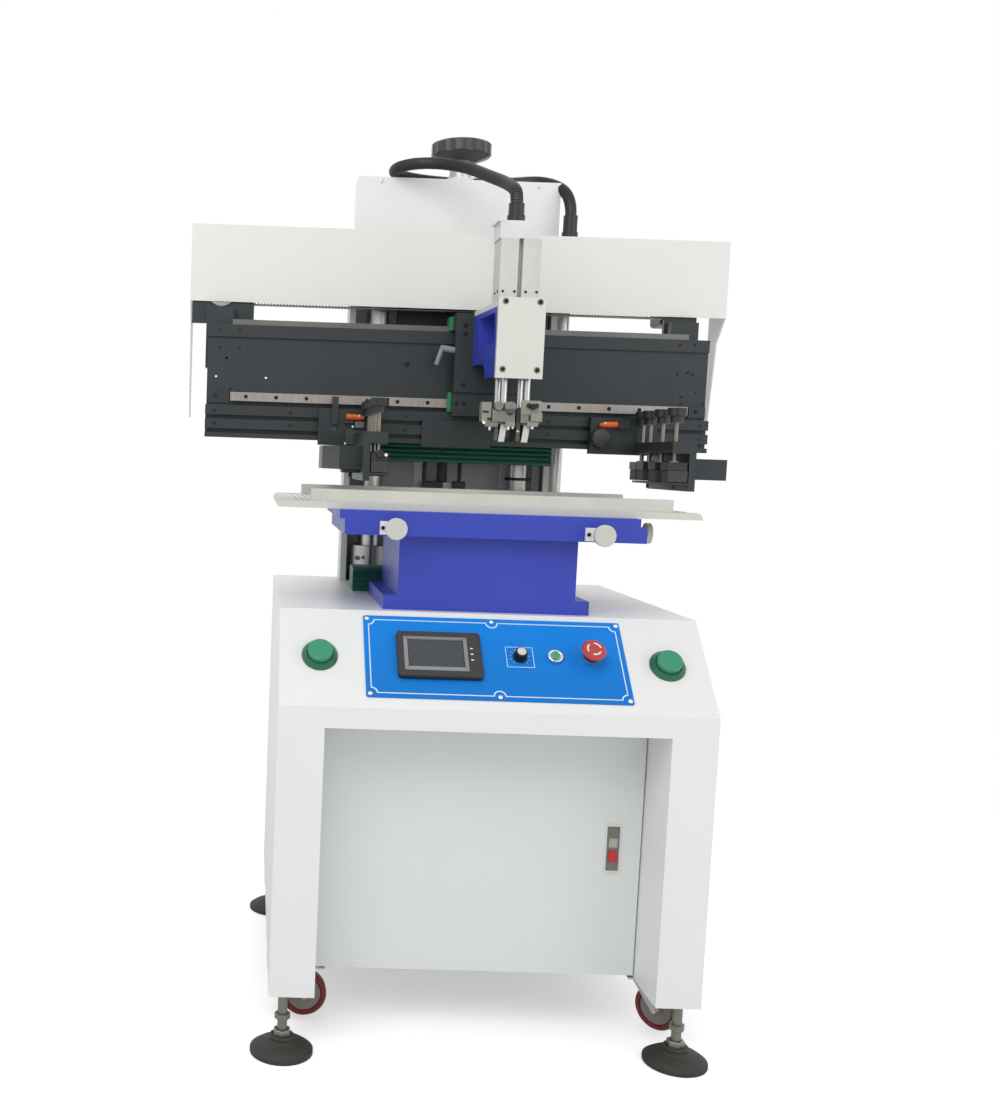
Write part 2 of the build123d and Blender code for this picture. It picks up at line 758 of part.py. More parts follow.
def rear_housing():
    """A folded sheet channel, open to the front, with upright ribs on its back."""
    z = (cabinet_top_z, housing_top_z)
    back = block((-housing_half_width, housing_half_width), (cabinet_depth - sheet, cabinet_depth), z)
    for side in (-1, 1):
        wall = sorted((side * housing_half_width, side * (housing_half_width - sheet)))
        back += block(wall, (housing_front_y, cabinet_depth), z)
        lip = sorted((side * housing_half_width, side * (housing_half_width - housing_lip)))
        back += block(lip, (housing_front_y, housing_front_y + sheet), z)
    rib_z = (cabinet_top_z + collar_height + 4, housing_top_z)
    for rib in housing_ribs:
        back += block(rib, (cabinet_depth - sheet - housing_rib_depth, cabinet_depth - sheet), rib_z)
    return back


def lift_bores(z, clearance):
    bores = post(lift_x, column_y, z, lift_rod_radius + clearance)
    for side in (-1, 1):
        bores += post(lift_x + side * lift_guide_offset, column_y, z, lift_guide_radius + clearance)
    return bores


def lift_cylinder():
    """The cylinder's body with its thicker top cap and three bores."""
    width, depth = lift_body
    x = (lift_x - width / 2, lift_x + width / 2)
    y = (column_y - depth / 2, column_y + depth / 2)
    cap_z = lift_top_z - lift_cap_height
    body = block((x[0] + 5, x[1] - 5), (y[0] + 4, y[1] - 4), (cabinet_top_z, cap_z))
    body += block(x, y, (cap_z, lift_top_z)) + block(x, y, (cabinet_top_z, cabinet_top_z + lift_cap_height))
    return body - lift_bores((cabinet_top_z + 20, lift_top_z + 1), slide_fit)


def bellows(x, y, z):
    """A pleated stack: its front and back edges zigzag, one tooth a pleat."""
    pitch = (z[1] - z[0]) / bellows_pleats
    front = []
    back = []
    for fold in range(bellows_pleats):
        low = z[0] + fold * pitch
        front += [(y[0] + pleat_depth, low), (y[0], low + pitch / 2)]
        back += [(y[1] - pleat_depth, low), (y[1], low + pitch / 2)]
    front.append((y[0] + pleat_depth, z[1]))
    back.append((y[1] - pleat_depth, z[1]))
    return section_x(front + back[::-1], x)


def lower_bellows():
    return bellows(lower_bellows_x, lower_bellows_y, (cabinet_top_z, cabinet_top_z + lower_bellows_height))


def upper_bellows():
    return bellows(upper_bellows_x, upper_bellows_y, (carrier_z[0] - upper_bellows_height, carrier_z[0]))


# Head

def beam_plate():
    """The long black plate, with the thicker strip along its top edge."""
    plate = block(beam_x, beam_y, beam_z)
    strip_height, strip_proud = beam_strip
    plate += block(beam_x, (beam_y[0] - strip_proud, beam_y[0]), (beam_z[1] - strip_height, beam_z[1]))
    for x, z in beam_holes:
        plate -= bar_y(x, z, (beam_y[0] - 1, beam_y[1] + 1), beam_hole_radius)
    return plate


def beam_extrusion():
    """The slotted profile along the beam's foot that the stencil arms slide on."""
    front = extrusion_y[0]
    profile = block(extrusion_x, extrusion_y, extrusion_z)
    cut = (extrusion_x[0] - 1, extrusion_x[1] + 1)
    for z in extrusion_slots_z:
        profile -= block(cut, (front - 1, front + slot_lip + 1), (z - slot_mouth / 2, z + slot_mouth / 2))
        profile -= block(cut, (front + slot_lip, front + slot_depth), (z - slot_width / 2, z + slot_width / 2))
    return profile


def beam_rails():
    """The lower rail with its row of sunk screw holes, and the plain upper rail."""
    ends = (-rail_half_length, rail_half_length)
    front = beam_y[0] - lower_rail_depth
    lower = block(ends, (front, beam_y[0]), lower_rail_z)
    middle_z = (lower_rail_z[0] + lower_rail_z[1]) / 2
    count = int((2 * rail_half_length - 2 * rail_hole_inset) / rail_hole_pitch) + 1
    for step in range(count):
        x = -rail_half_length + rail_hole_inset + step * rail_hole_pitch
        lower -= bar_y(x, middle_z, (front - 1, front + rail_hole_depth), rail_hole_radius)
    upper = block(ends, upper_rail_y, (beam_z[1], beam_z[1] + upper_rail_height))
    return [lower, upper]


def bearing_carrier():
    """The casting that slides on the columns, with its back plate and the lift rods."""
    carrier = block((-carrier_half_width, carrier_half_width), carrier_y, carrier_z)
    half_window = carrier_window[0] / 2
    middle = (carrier_z[0] + carrier_z[1]) / 2
    carrier -= block(
        (-half_window, half_window), (carrier_y[0] + 15, column_y - lift_body[1] / 2 - 10),
        (middle - carrier_window[1] / 2, middle + carrier_window[1] / 2),
    )
    carrier += block((-upright_half_width, upright_half_width), upright_y, (carrier_z[1], top_z[1] - skin))
    for side in (-1, 1):
        carrier -= post(side * column_x, column_y, (carrier_z[0] - 1, carrier_z[1] + 1), column_radius + slide_fit)
    return carrier + lift_bores((lift_rod_end_z, carrier_z[0]), 0)


def head_cover():
    """The long white cover over the belt, with a tapering plate at each end."""
    ends = (-cover_half_length, cover_half_length)
    cover = block(ends, (cover_y[0], cover_y[0] + skin), cover_z)
    cover += block(ends, cover_y, (cover_z[1] - skin, cover_z[1]))
    knee_y, toe_y, back_y = cover_end_y
    end = section_x(
        [
            (cover_y[0], cover_z[1]), (cover_y[0], cover_z[0]), (knee_y, cover_end_knee_z),
            (toe_y, cover_end_foot_z), (back_y, cover_end_foot_z), (back_y, cover_z[1]),
        ],
        (cover_half_length - skin, cover_half_length),
    )
    return cover + end + mirror_x(end)


def top_housing():
    """The box over the columns' heads, open below, with the handwheel's boss on top."""
    box = block((-top_half_width, top_half_width), top_y, top_z)
    box -= block(
        (-top_half_width + skin, top_half_width - skin), (top_y[0] + skin, top_y[1] - skin),
        (top_z[0] - 1, top_z[1] - skin),
    )
    boss = post(*handwheel_at, (top_z[1], top_z[1] + handwheel_boss_height), handwheel_boss_radius)
    return box + boss


def belt_brackets():
    """Brackets at both ends of the beam, and the motor on the right one."""
    foot_top = cover_z[1] - skin
    pieces = []
    for x, pulley in ((left_bracket_x, pulley_x[0]), (right_bracket_x, pulley_x[1])):
        arm = block(x, bracket_y, (bracket_bottom_z, foot_top))
        foot = (pulley - bracket_foot / 2, pulley + bracket_foot / 2)
        arm += block(foot, (beam_y[1], bracket_y[0]), (bracket_bottom_z - 90, bracket_bottom_z + 30))
        arm += block(foot, bracket_y, (bracket_bottom_z - 90, bracket_bottom_z))
        pieces.append(arm)
    motor = block(
        (pulley_x[1] - motor_size / 2, pulley_x[1] + motor_size / 2),
        (belt_y[1] + 2, belt_y[1] + 2 + motor_length),
        (pulley_z - motor_size / 2, pulley_z + motor_size / 2),
    )
    return pieces + [fillet(motor.edges().filter_by(Axis.Y), 8)]


def belt_pulleys():
    """A pulley at each end with its flange in front of the belt, on its bracket or motor."""
    pulleys = []
    for x in pulley_x:
        pulley = bar_y(x, pulley_z, (bracket_y[1], belt_y[1] + 2), pulley_radius)
        flange_y = (belt_y[0] - slide_fit - pulley_flange, belt_y[0] - slide_fit)
        pulleys.append(pulley + bar_y(x, pulley_z, flange_y, pulley_flange_radius))
    return pulleys


def drive_belt():
    """One flat loop round both pulleys."""
    inner = pulley_radius + slide_fit
    outer = inner + belt_thickness
    middle = (pulley_x[0] + pulley_x[1]) / 2
    span = pulley_x[1] - pulley_x[0]
    loop = SlotCenterToCenter(span, 2 * outer) - SlotCenterToCenter(span, 2 * inner)
    belt = extrude(Plane.XZ * loop, belt_y[0] - belt_y[1])
    return Pos(middle, belt_y[0], pulley_z) * belt


def handwheel():
    """A wheel with shallow upright flutes and a coned underside, on its round shaft."""
    hub_radius, hub_z = handwheel_hub
    rim = handwheel_radius
    outline = Plane.XZ * Polygon(
        (0, hub_z), (hub_radius, hub_z), (rim - 4, handwheel_z[0] - 1), (rim, handwheel_z[0] + 2),
        (rim, handwheel_z[1] - 3), (rim - 3, handwheel_z[1]), (rim - 12, handwheel_z[1]),
        (rim - 18, handwheel_z[1] - 6), (0, handwheel_z[1] - 6), align=None,
    )
    wheel = revolve(outline, Axis.Z)
    reach = rim + handwheel_flute_radius - handwheel_flute_depth
    for step in range(handwheel_flutes):
        angle = math.tau * step / handwheel_flutes
        wheel -= post(
            reach * math.cos(angle), reach * math.sin(angle), (hub_z - 1, handwheel_z[1] + 1),
            handwheel_flute_radius,
        )
    shaft_z = top_z[1] + handwheel_boss_height + slide_fit
    wheel += post(0, 0, (shaft_z, hub_z), handwheel_shaft_radius)
    return Pos(*handwheel_at, 0) * wheel


# Squeegee carriage

rail_gap = 0.3


def carriage_plate():
    """The carriage's plate with its two rail blocks, and the arm that holds the belt."""
    x = carriage_x
    body = block(x, carriage_plate_y, carriage_z)
    body += block(x, (lower_block_front_y, carriage_block_y), lower_block_z)
    body += block(x, (lower_block_front_y, carriage_plate_y[1]), (lower_block_lip_z, lower_block_z[0]))
    body -= block(
        (x[0] - 1, x[1] + 1), (beam_y[0] - lower_rail_depth - rail_gap, beam_y[0]),
        (lower_rail_z[0] - rail_gap, lower_rail_z[1] + rail_gap),
    )
    top_block_z = (upper_block_bottom_z, carriage_z[1])
    body += block(x, (carriage_plate_y[1], upper_block_y), top_block_z)
    body -= block(
        (x[0] - 1, x[1] + 1), (upper_rail_y[0] - rail_gap, upper_rail_y[1] + rail_gap),
        (upper_block_bottom_z - 1, beam_z[1] + upper_rail_height + rail_gap),
    )
    return body + block(belt_arm_x, (upper_block_y, belt_y[1]), (carriage_z[1] - 8, belt_arm_top_z))


def rail_wipers():
    """Green end seals of the rail blocks."""
    wipers = []
    for side, edge in ((-1, carriage_x[0]), (1, carriage_x[1])):
        x = sorted((edge, edge + side * wiper_width))
        lower = block(
            x, (beam_y[0] - lower_rail_depth - 12, carriage_block_y), lower_block_z
        )
        lower -= block(
            (x[0] - 1, x[1] + 1), (beam_y[0] - lower_rail_depth - rail_gap, beam_y[0]),
            (lower_rail_z[0] - rail_gap, lower_rail_z[1] + rail_gap),
        )
        upper = block(x, (upper_rail_y[0] - 12, upper_block_y), (upper_block_bottom_z, carriage_z[1] - 4))
        upper -= block(
            (x[0] - 1, x[1] + 1), (upper_rail_y[0] - rail_gap, upper_rail_y[1] + rail_gap),
            (upper_block_bottom_z - 1, beam_z[1] + upper_rail_height + rail_gap),
        )
        wipers += [lower, upper]
    return wipers


def rod_bores(z, clearance):
    bores = None
    for x in squeegee_x:
        for y in squeegee_rods_y:
            bore = post(x, y, z, squeegee_rod_radius + clearance)
            bores = bore if bores is None else bores + bore
    return bores


def bracket_plan(z, front_x, front_y):
    """A prism of the bracket's plan, which narrows from the carriage plate to its nose."""
    rear_x, rear = bracket_rear_x, carriage_plate_y[0]
    plan = Polygon(
        (rear_x[0], rear), (front_x[0], front_y), (front_x[1], front_y), (rear_x[1], rear), align=None
    )
    return Pos(0, 0, z[0]) * extrude(plan, z[1] - z[0], dir=(0, 0, 1))


def squeegee_bracket():
    """The blue casting that reaches forward from the carriage, windowed and arched below."""
    rear = carriage_plate_y[0]
    step = bracket_step_y
    side = Plane.YZ.offset(bracket_rear_x[0]) * make_face(
        Polyline(
            (step, bracket_rear_z), (rear, bracket_rear_z), (rear, bracket_top_z), (bracket_front_y, bracket_top_z),
            (bracket_front_y, bracket_front_z), (step - bracket_arc, bracket_front_z),
        )
        + RadiusArc((step - bracket_arc, bracket_front_z), (step, bracket_rear_z), bracket_arc + 4)
    )
    casting = extrude(side, bracket_rear_x[1] - bracket_rear_x[0], dir=(1, 0, 0))
    casting &= bracket_plan((bracket_front_z, bracket_top_z), bracket_front_x, bracket_front_y)
    casting -= block((bracket_rear_x[0] - 1, bracket_rear_x[1] + 1), window_y, window_z)
    return casting - rod_bores((bracket_front_z - 1, squeegee_rod_top_z + 4), slide_fit)


def front_plate():
    """The white plate on the bracket's nose, folded back over its top."""
    plate = block(front_plate_x, (bracket_front_y - front_plate_thickness, bracket_front_y), front_plate_z)
    top = (bracket_top_z, bracket_top_z + cap_plate_thickness)
    return plate + bracket_plan(top, bracket_front_x, bracket_front_y)


def cylinder_cover():
    """The slotted upright cover over the squeegee cylinders, with its cap block and thin lid."""
    z = (bracket_top_z + cap_plate_thickness, cylinder_cover_top_z)
    x = cylinder_cover_x
    y = (bracket_front_y, bracket_front_y + cylinder_cover_depth)
    cover = block(x, y, z)
    middle = (x[0] + x[1]) / 2
    width, depth = cylinder_slot
    cover -= block((middle - width / 2, middle + width / 2), (y[0] - 1, y[0] + depth), (z[0] - 1, z[1] + 1))
    cap_top = z[1] + cylinder_cap_height
    overhang, lid = cylinder_lid
    cap = block(cylinder_cap_x, y, (z[1], cap_top))
    return cover + cap + block((cylinder_cap_x[0] - overhang, cylinder_cap_x[1]), y, (cap_top, cap_top + lid))


def squeegee(x):
    """Two guide rods, the holder bar with its two screw clamps, and the leaning blade."""
    holder = block((x - holder_width / 2, x + holder_width / 2), holder_y, holder_z)
    for y in squeegee_rods_y:
        holder += post(x, y, (holder_z[1], squeegee_rod_top_z), squeegee_rod_radius)
    side = -1 if x == squeegee_x[0] else 1
    for y in clamp_y:
        reach = sorted((x, x + side * (holder_width / 2 + clamp_block[0])))
        half = clamp_block[1] / 2
        holder += block(reach, (y - half, y + half), (holder_z[0] + 2, holder_z[1] - 8))
    foot = holder_z[0]
    half = blade_thickness / 2
    blade = Plane.XZ * Polygon(
        (x - half, foot), (x + half, foot), (x + half - blade_lean, foot - blade_drop),
        (x - half - blade_lean, foot - blade_drop), align=None,
    )
    return holder + Pos(0, blade_y[1], 0) * extrude(blade, blade_y[1] - blade_y[0], dir=(0, -1, 0))


# Stencil arms

def arm_section(outer_x, side):
    """A channel along Y: web outside, thick flange above, thin ledge below."""
    far = outer_x + side * arm_width
    along = (arm_front_y, slide_plate_y)
    web = block(sorted((outer_x, outer_x + side * arm_web)), along, arm_web_z)
    web += block(sorted((outer_x, far)), along, arm_flange_z)
    return web + block(sorted((outer_x, far)), along, arm_ledge_z)


def stud_places(outer_x, side):
    inset = clamp_stud_inset[0 if side > 0 else 1]
    return [(outer_x + side * inset, y) for y in clamp_stud_y]


slide_y = (slide_plate_y, extrusion_y[0] - arm_gap)


def bored_for_studs(arm, outer_x, side):
    for x, y in stud_places(outer_x, side):
        arm -= post(x, y, (arm_flange_z[0] - 1, arm_flange_z[1] + 1), stud_radius + slide_fit)
    return arm


def left_stencil_arm():
    """The left channel with its slide plate, the sensor box beside it and the stop tab."""
    outer = left_arm_x
    arm = arm_section(outer, 1)
    arm += block((outer - left_slide_reach, outer + arm_width), slide_y, slide_plate_z)
    near, far = sensor_box_reach
    front = sensor_box_y
    box = Polygon(
        (outer, front), (outer - near, front), (outer - far, front + sensor_box_chamfer),
        (outer - far, slide_y[1]), (outer, slide_y[1]), align=None,
    )
    arm += Pos(0, 0, sensor_box_z[0]) * extrude(box, sensor_box_z[1] - sensor_box_z[0], dir=(0, 0, 1))
    arm += block(tab_x, (slide_plate_y - tab_depth, slide_plate_y), tab_z)
    return bored_for_studs(arm, outer, 1)


def right_stencil_arm():
    """The right channel with its slide plate and the switch bar beside it."""
    outer = right_arm_x
    arm = arm_section(outer, -1)
    arm += block((outer - right_slide_reach, outer), slide_y, slide_plate_z)
    arm += block((outer, outer + switch_bar_reach), switch_bar_y, switch_bar_z)
    arm += block((outer, outer + switch_bar_web), (switch_bar_y[0], slide_plate_y), switch_bar_z)
    return bored_for_studs(arm, outer, -1)


def star_knob():
    outline = Circle(star_knob_radius)
    for step in range(star_knob_lobes):
        angle = math.tau * step / star_knob_lobes
        reach = star_knob_radius + 3
        outline -= Pos(reach * math.cos(angle), reach * math.sin(angle)) * Circle(5)
    height = star_knob_z[1] - star_knob_z[0]
    neck_radius, neck = star_knob_neck
    head = Pos(0, 0, neck) * extrude(outline, height - neck)
    return head + extrude(Circle(neck_radius), neck)


def arm_clamps(outer_x, side):
    """Four star knobs on studs, each with its square pressing block under the flange."""
    clamps = []
    wide, deep = press_block
    for x, y in stud_places(outer_x, side):
        clamp = post(x, y, (press_block_z[1], star_knob_z[0]), stud_radius)
        free = x + side * wide / 2
        inner = outer_x + side * (arm_web + 2)
        near = max(x - wide / 2, inner) if side > 0 else min(x + wide / 2, inner)
        clamp += block(sorted((near, free)), (y - deep / 2, y + deep / 2), press_block_z)
        clamps.append(clamp + Pos(x, y, star_knob_z[0]) * star_knob())
    return clamps


# Conduits

def route_radii(points):
    """The bend at each inner point: nine twentieths of the shorter run, over the turn."""
    radii = []
    for before, here, after in zip(points, points[1:], points[2:]):
        first = Vector(*here) - Vector(*before)
        second = Vector(*after) - Vector(*here)
        turn = math.radians(first.get_angle(second))
        radii.append(0.45 * min(first.length, second.length) / math.tan(turn / 2))
    return radii


def conduit(points):
    radii = route_radii(points)
    print("conduit bend radii", [round(radius) for radius in radii])
    path = FilletPolyline(*points, radius=radii)
    tube = sweep(Plane(path @ 0, z_dir=path % 0) * Circle(conduit_radius), path)
    share = tube.volume / (math.pi * conduit_radius ** 2 * path.length)
    print("conduit length", round(path.length), "volume share", round(share, 3))
    return tube


def gland(x, y, z):
    """A screw gland: its body with the wider nut at the foot."""
    nut_radius, nut_height = gland_nut
    body = post(x, y, z, gland_radius)
    return body + post(x, y, (z[0], z[0] + nut_height), nut_radius)


def beam_gland():
    """The gland on the long cover, at the conduit's first end."""
    x, y, z = head_conduit_points[0]
    return gland(x, y, (cover_z[1], z))


def carriage_gland():
    """The gland on the cylinder cover's lid, at the conduit's last end."""
    x, y, z = head_conduit_points[-1]
    return gland(x, y, (cylinder_cover_top_z + cylinder_cap_height + cylinder_lid[1], z))


nodes = {
    "front_frame": front_frame(),
    "side_panels": side_panels(),
    "rear_panel": rear_panel(),
    "cabinet_top": cabinet_top(),
    "cabinet_floor": cabinet_floor(),
    "door": door(),
    "levelling_feet": levelling_feet(),
    "castor_plates": castor_plates(),
    "control_plate": control_plate(),
    "touch_screen": touch_screen(),
    "button_bezels": button_bezels(),
    "left_start_button": start_button(-1),
    "right_start_button": start_button(1),
    "emergency_stop": emergency_stop(),
    "speed_knob": speed_knob(),
    "pedestal": pedestal(),
    "table_plates": table_plates(),
    "adjuster_blocks": adjuster_blocks(),
    "left_adjusting_knob": front_adjusting_knob(adjuster_x[0]),
    "right_adjusting_knob": front_adjusting_knob(adjuster_x[1]),
    "side_adjusting_knob": side_adjusting_knob(),
    "board_table": board_table(),
    "table_rails": table_rails(),
    "guide_columns": guide_columns(),
    "rear_housing": rear_housing(),
    "lift_cylinder": lift_cylinder(),
    "lower_bellows": lower_bellows(),
    "beam_plate": beam_plate(),
    "beam_extrusion": beam_extrusion(),
    "beam_rails": beam_rails(),
    "bearing_carrier": bearing_carrier(),
    "upper_bellows": upper_bellows(),
    "head_cover": head_cover(),
    "top_housing": top_housing(),
    "belt_brackets": belt_brackets(),
    "belt_pulleys": belt_pulleys(),
    "drive_belt": drive_belt(),
    "handwheel": handwheel(),
    "carriage_plate": carriage_plate(),
    "rail_wipers": rail_wipers(),
    "squeegee_bracket": squeegee_bracket(),
    "front_plate": front_plate(),
    "cylinder_cover": cylinder_cover(),
    "left_squeegee": squeegee(squeegee_x[0]),
    "right_squeegee": squeegee(squeegee_x[1]),
    "left_stencil_arm": left_stencil_arm(),
    "right_stencil_arm": right_stencil_arm(),
    "left_arm_clamps": arm_clamps(left_arm_x, 1),
    "right_arm_clamps": arm_clamps(right_arm_x, -1),
    "head_conduit": conduit(head_conduit_points),
    "conduit_glands": beam_gland(),
    "carriage_gland": carriage_gland(),
}
for name, at in castor_at.items():
    nodes[f"{name}_castor_fork"] = castor_fork(*at)
    nodes[f"{name}_castor_wheel"] = castor_wheel(*at)

os.makedirs("parts", exist_ok=True)
for name, shape in nodes.items():
    solids = shape if isinstance(shape, list) else [shape]
    placed = [Pos(0, -half_depth, 0) * solid for solid in solids]
    export_step(placed[0] if len(placed) == 1 else Compound(placed), f"parts/{name}.step")
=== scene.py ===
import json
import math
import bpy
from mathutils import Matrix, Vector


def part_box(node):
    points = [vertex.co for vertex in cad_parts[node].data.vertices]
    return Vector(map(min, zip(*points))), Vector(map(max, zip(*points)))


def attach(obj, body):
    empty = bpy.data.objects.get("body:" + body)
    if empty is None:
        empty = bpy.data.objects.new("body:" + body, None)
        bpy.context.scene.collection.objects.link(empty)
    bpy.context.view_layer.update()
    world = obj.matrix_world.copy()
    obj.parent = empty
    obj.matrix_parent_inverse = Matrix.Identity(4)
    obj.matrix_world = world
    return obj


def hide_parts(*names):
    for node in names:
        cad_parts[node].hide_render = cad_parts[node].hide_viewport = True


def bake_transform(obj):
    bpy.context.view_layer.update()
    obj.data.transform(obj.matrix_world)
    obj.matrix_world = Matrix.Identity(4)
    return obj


bl_info = {
    "name": "Solder paste printer",
    "version": (1, 0, 0),
    "blender": (4, 5, 0),
    "location": "3D View > Sidebar > Printer",
    "description": "Finishes, fastenings, conduit and small fittings of a solder paste printer",
    "category": "Add Mesh",
}

import bmesh
import bpy
from mathutils import Matrix, Vector

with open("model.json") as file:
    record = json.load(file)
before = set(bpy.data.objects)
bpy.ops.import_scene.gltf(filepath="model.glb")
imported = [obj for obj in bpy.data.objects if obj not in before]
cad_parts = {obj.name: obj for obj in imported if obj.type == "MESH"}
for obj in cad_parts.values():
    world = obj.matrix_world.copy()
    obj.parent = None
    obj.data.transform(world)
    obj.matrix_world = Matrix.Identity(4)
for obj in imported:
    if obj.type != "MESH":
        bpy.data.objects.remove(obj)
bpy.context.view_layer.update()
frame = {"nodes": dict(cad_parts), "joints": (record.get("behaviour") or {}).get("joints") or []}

MM = 0.001
UP, DOWN, FRONT, LEFT = (0, 0, 1), (0, 0, -1), (0, -1, 0), (-1, 0, 0)
CASTORS = ("front_left", "front_right", "rear_left", "rear_right")
CABINET_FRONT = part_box("front_frame")[0][1]


def spot(x, y, z):
    """A point from millimetres across, back from the cabinet's front, and up from the floor."""
    return Vector((x * MM, CABINET_FRONT + y * MM, z * MM))


def joint(name):
    return next(entry for entry in frame["joints"] if entry["name"] == name)


def joint_place(name):
    return Vector(joint(name)["pos_m"])


def middle(node):
    low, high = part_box(node)
    return (Vector(low) + Vector(high)) / 2


def foot_of(node):
    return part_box(node)[0][2]


def top_of(node):
    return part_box(node)[1][2]


# The sloping panel's own axes: X, up the slope, and out of it.

PANEL_OUT = Vector(joint("speed_turn")["axis"]).normalized()
PANEL_UP = PANEL_OUT.cross(Vector((1, 0, 0))).normalized()
PLATE_THICKNESS = 2 * MM


def panel_matrix(x, up, out=0.0):
    """From a piece modelled on z = 0 to its place on the control plate, from the plate's middle."""
    origin = middle("control_plate") + PANEL_OUT * (PLATE_THICKNESS / 2 + out) + PANEL_UP * up
    origin.x += x
    turn = Matrix((Vector((1, 0, 0)), PANEL_UP, PANEL_OUT)).transposed().to_4x4()
    return Matrix.Translation(origin) @ turn


def panel_place(point):
    """Where a point lies on the control plate, across and up from the plate's middle."""
    offset = point - middle("control_plate")
    return offset.x, offset.dot(PANEL_UP)


# Modelling helpers

def start():
    """Leaves edit mode with nothing selected."""
    if bpy.context.mode != "OBJECT":
        bpy.ops.object.mode_set(mode="OBJECT")
    bpy.ops.object.select_all(action="DESELECT")


def focus(obj):
    start()
    bpy.context.view_layer.objects.active = obj
    obj.select_set(True)


def edit(obj):
    focus(obj)
    bpy.ops.object.mode_set(mode="EDIT")


def pick(obj, test, kind="faces"):
    """In edit mode, selects only the faces or edges that pass the test."""
    mesh = bmesh.from_edit_mesh(obj.data)
    bpy.context.tool_settings.mesh_select_mode = (False, kind == "edges", kind == "faces")
    for part in list(mesh.faces) + list(mesh.edges) + list(mesh.verts):
        part.select = False
    for part in getattr(mesh, kind):
        if test(part):
            part.select_set(True)
    bmesh.update_edit_mesh(obj.data)


def facing(axis, limit=0.9):
    axis = Vector(axis)
    return lambda face: face.normal.dot(axis) > limit


def inset_face(obj, axis, thickness, raised=0.0, limit=0.9):
    """Insets the face that looks along an axis, and raises or sinks what is inside."""
    edit(obj)
    pick(obj, facing(axis, limit))
    bpy.ops.mesh.inset(thickness=thickness)
    if raised:
        bpy.ops.transform.translate(value=Vector(axis) * raised)
    start()


def apply_place(obj):
    focus(obj)
    bpy.ops.object.transform_apply(location=True, rotation=True, scale=True)


def apply_modifier(obj, kind, **settings):
    focus(obj)
    modifier = obj.modifiers.new(kind.lower(), kind)
    for key, value in settings.items():
        setattr(modifier, key, value)
    bpy.ops.object.modifier_apply(modifier=modifier.name)


def smooth(obj, angle=35):
    focus(obj)
    bpy.ops.object.shade_smooth_by_angle(angle=math.radians(angle))


def cuboid(name, low, high, bevel=0.0, segments=2):
    """A box between two corners with its edges rounded."""
    start()
    low, high = Vector(low), Vector(high)
    bpy.ops.mesh.primitive_cube_add(size=1, location=(low + high) / 2, scale=high - low)
    obj = bpy.context.object
    obj.name = name
    apply_place(obj)
    if bevel:
        edit(obj)
        bpy.ops.mesh.select_all(action="SELECT")
        bpy.ops.mesh.bevel(offset=bevel, segments=segments, affect="EDGES")
        start()
    return obj


def disc(name, radius, height, bevel=0.0, sides=32, foot=0.0):
    """A round body standing at a height, with its top rim rounded."""
    start()
    bpy.ops.mesh.primitive_cylinder_add(
        vertices=sides, radius=radius, depth=height, location=(0, 0, foot + height / 2)
    )
    obj = bpy.context.object
    obj.name = name
    apply_place(obj)
    if bevel:
        top = foot + height - 1e-6
        edit(obj)
        pick(obj, lambda edge: all(vertex.co.z > top for vertex in edge.verts), "edges")
        bpy.ops.mesh.bevel(offset=bevel, segments=3, affect="EDGES")
        start()
    return obj


def hoop(name, outer, inner, height, bevel):
    """A flat ring on z = 0, its hole inset and bridged through, with rounded rims."""
    obj = disc(name, outer, height, sides=48)
    edit(obj)
    pick(obj, lambda face: abs(face.normal.z) > 0.9)
    bpy.ops.mesh.inset(thickness=outer - inner, use_individual=True)
    bpy.ops.mesh.bridge_edge_loops()
    apply_modifier(obj, "BEVEL", width=bevel, segments=2, limit_method="ANGLE", angle_limit=math.radians(40))
    return obj


def cut(obj, cutter):
    """Takes the cutter out of the piece and deletes it."""
    apply_modifier(obj, "BOOLEAN", operation="DIFFERENCE", object=cutter, solver="EXACT")
    drop(cutter)


def drop(obj):
    bpy.data.objects.remove(obj)


def placed(name, data):
    obj = bpy.data.objects.new(name, data)
    bpy.context.collection.objects.link(obj)
    return obj


def from_bmesh(name, mesh):
    """The piece that a closed bmesh holds, its normals turned outward."""
    bmesh.ops.recalc_face_normals(mesh, faces=mesh.faces)
    data = bpy.data.meshes.new(name)
    mesh.to_mesh(data)
    mesh.free()
    return placed(name, data)


def ready(obj, name, body, finish, place=None):
    """Puts a finished piece in its place, names it, gives it its finish and lets it ride on its body."""
    if place is not None:
        obj.data.transform(place)
    obj.name = name
    obj.data.name = name
    obj.data.materials.clear()
    obj.data.materials.append(finish_named(finish))
    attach(obj, body)
    return obj


def repeated(master, name, places, body, finish, slot, keep=False):
    """One finished piece of copies of a master, each with its own mesh, at a list of matrices."""
    start()
    made = []
    for place in places:
        mesh = master.data.copy()
        mesh.transform(place)
        made.append(placed(name, mesh))
    for copy in made:
        copy.select_set(True)
    bpy.context.view_layer.objects.active = made[0]
    if len(made) > 1:
        bpy.ops.object.join()
    if not keep:
        drop(master)
    return ready(made[0], name, body, finish)


def turned(at, out, size=1.0):
    """A matrix that stands a piece modelled along +Z on a point, pointing out, and scales it."""
    turn = Vector(out).to_track_quat("Z", "Y").to_matrix().to_4x4()
    return Matrix.Translation(Vector(at)) @ turn @ Matrix.Scale(size, 4)


def moved(x, y, z):
    return Matrix.Translation(spot(x, y, z))


def turns(count, first=0.0, step=None):
    """Rotations about Z, evenly round or by a step in degrees."""
    step = step or 360 / count
    return [Matrix.Rotation(math.radians(first + step * number), 4, "Z") for number in range(count)]


# Shader maths

def maths(operation, reflected=False):
    """A method that works on a value and the ones beside it through one Math node."""

    def method(self, *others):
        values = (*others, self) if reflected else (self, *others)
        return self.nodes.node("ShaderNodeMath", {"operation": operation}, dict(enumerate(values)))

    return method


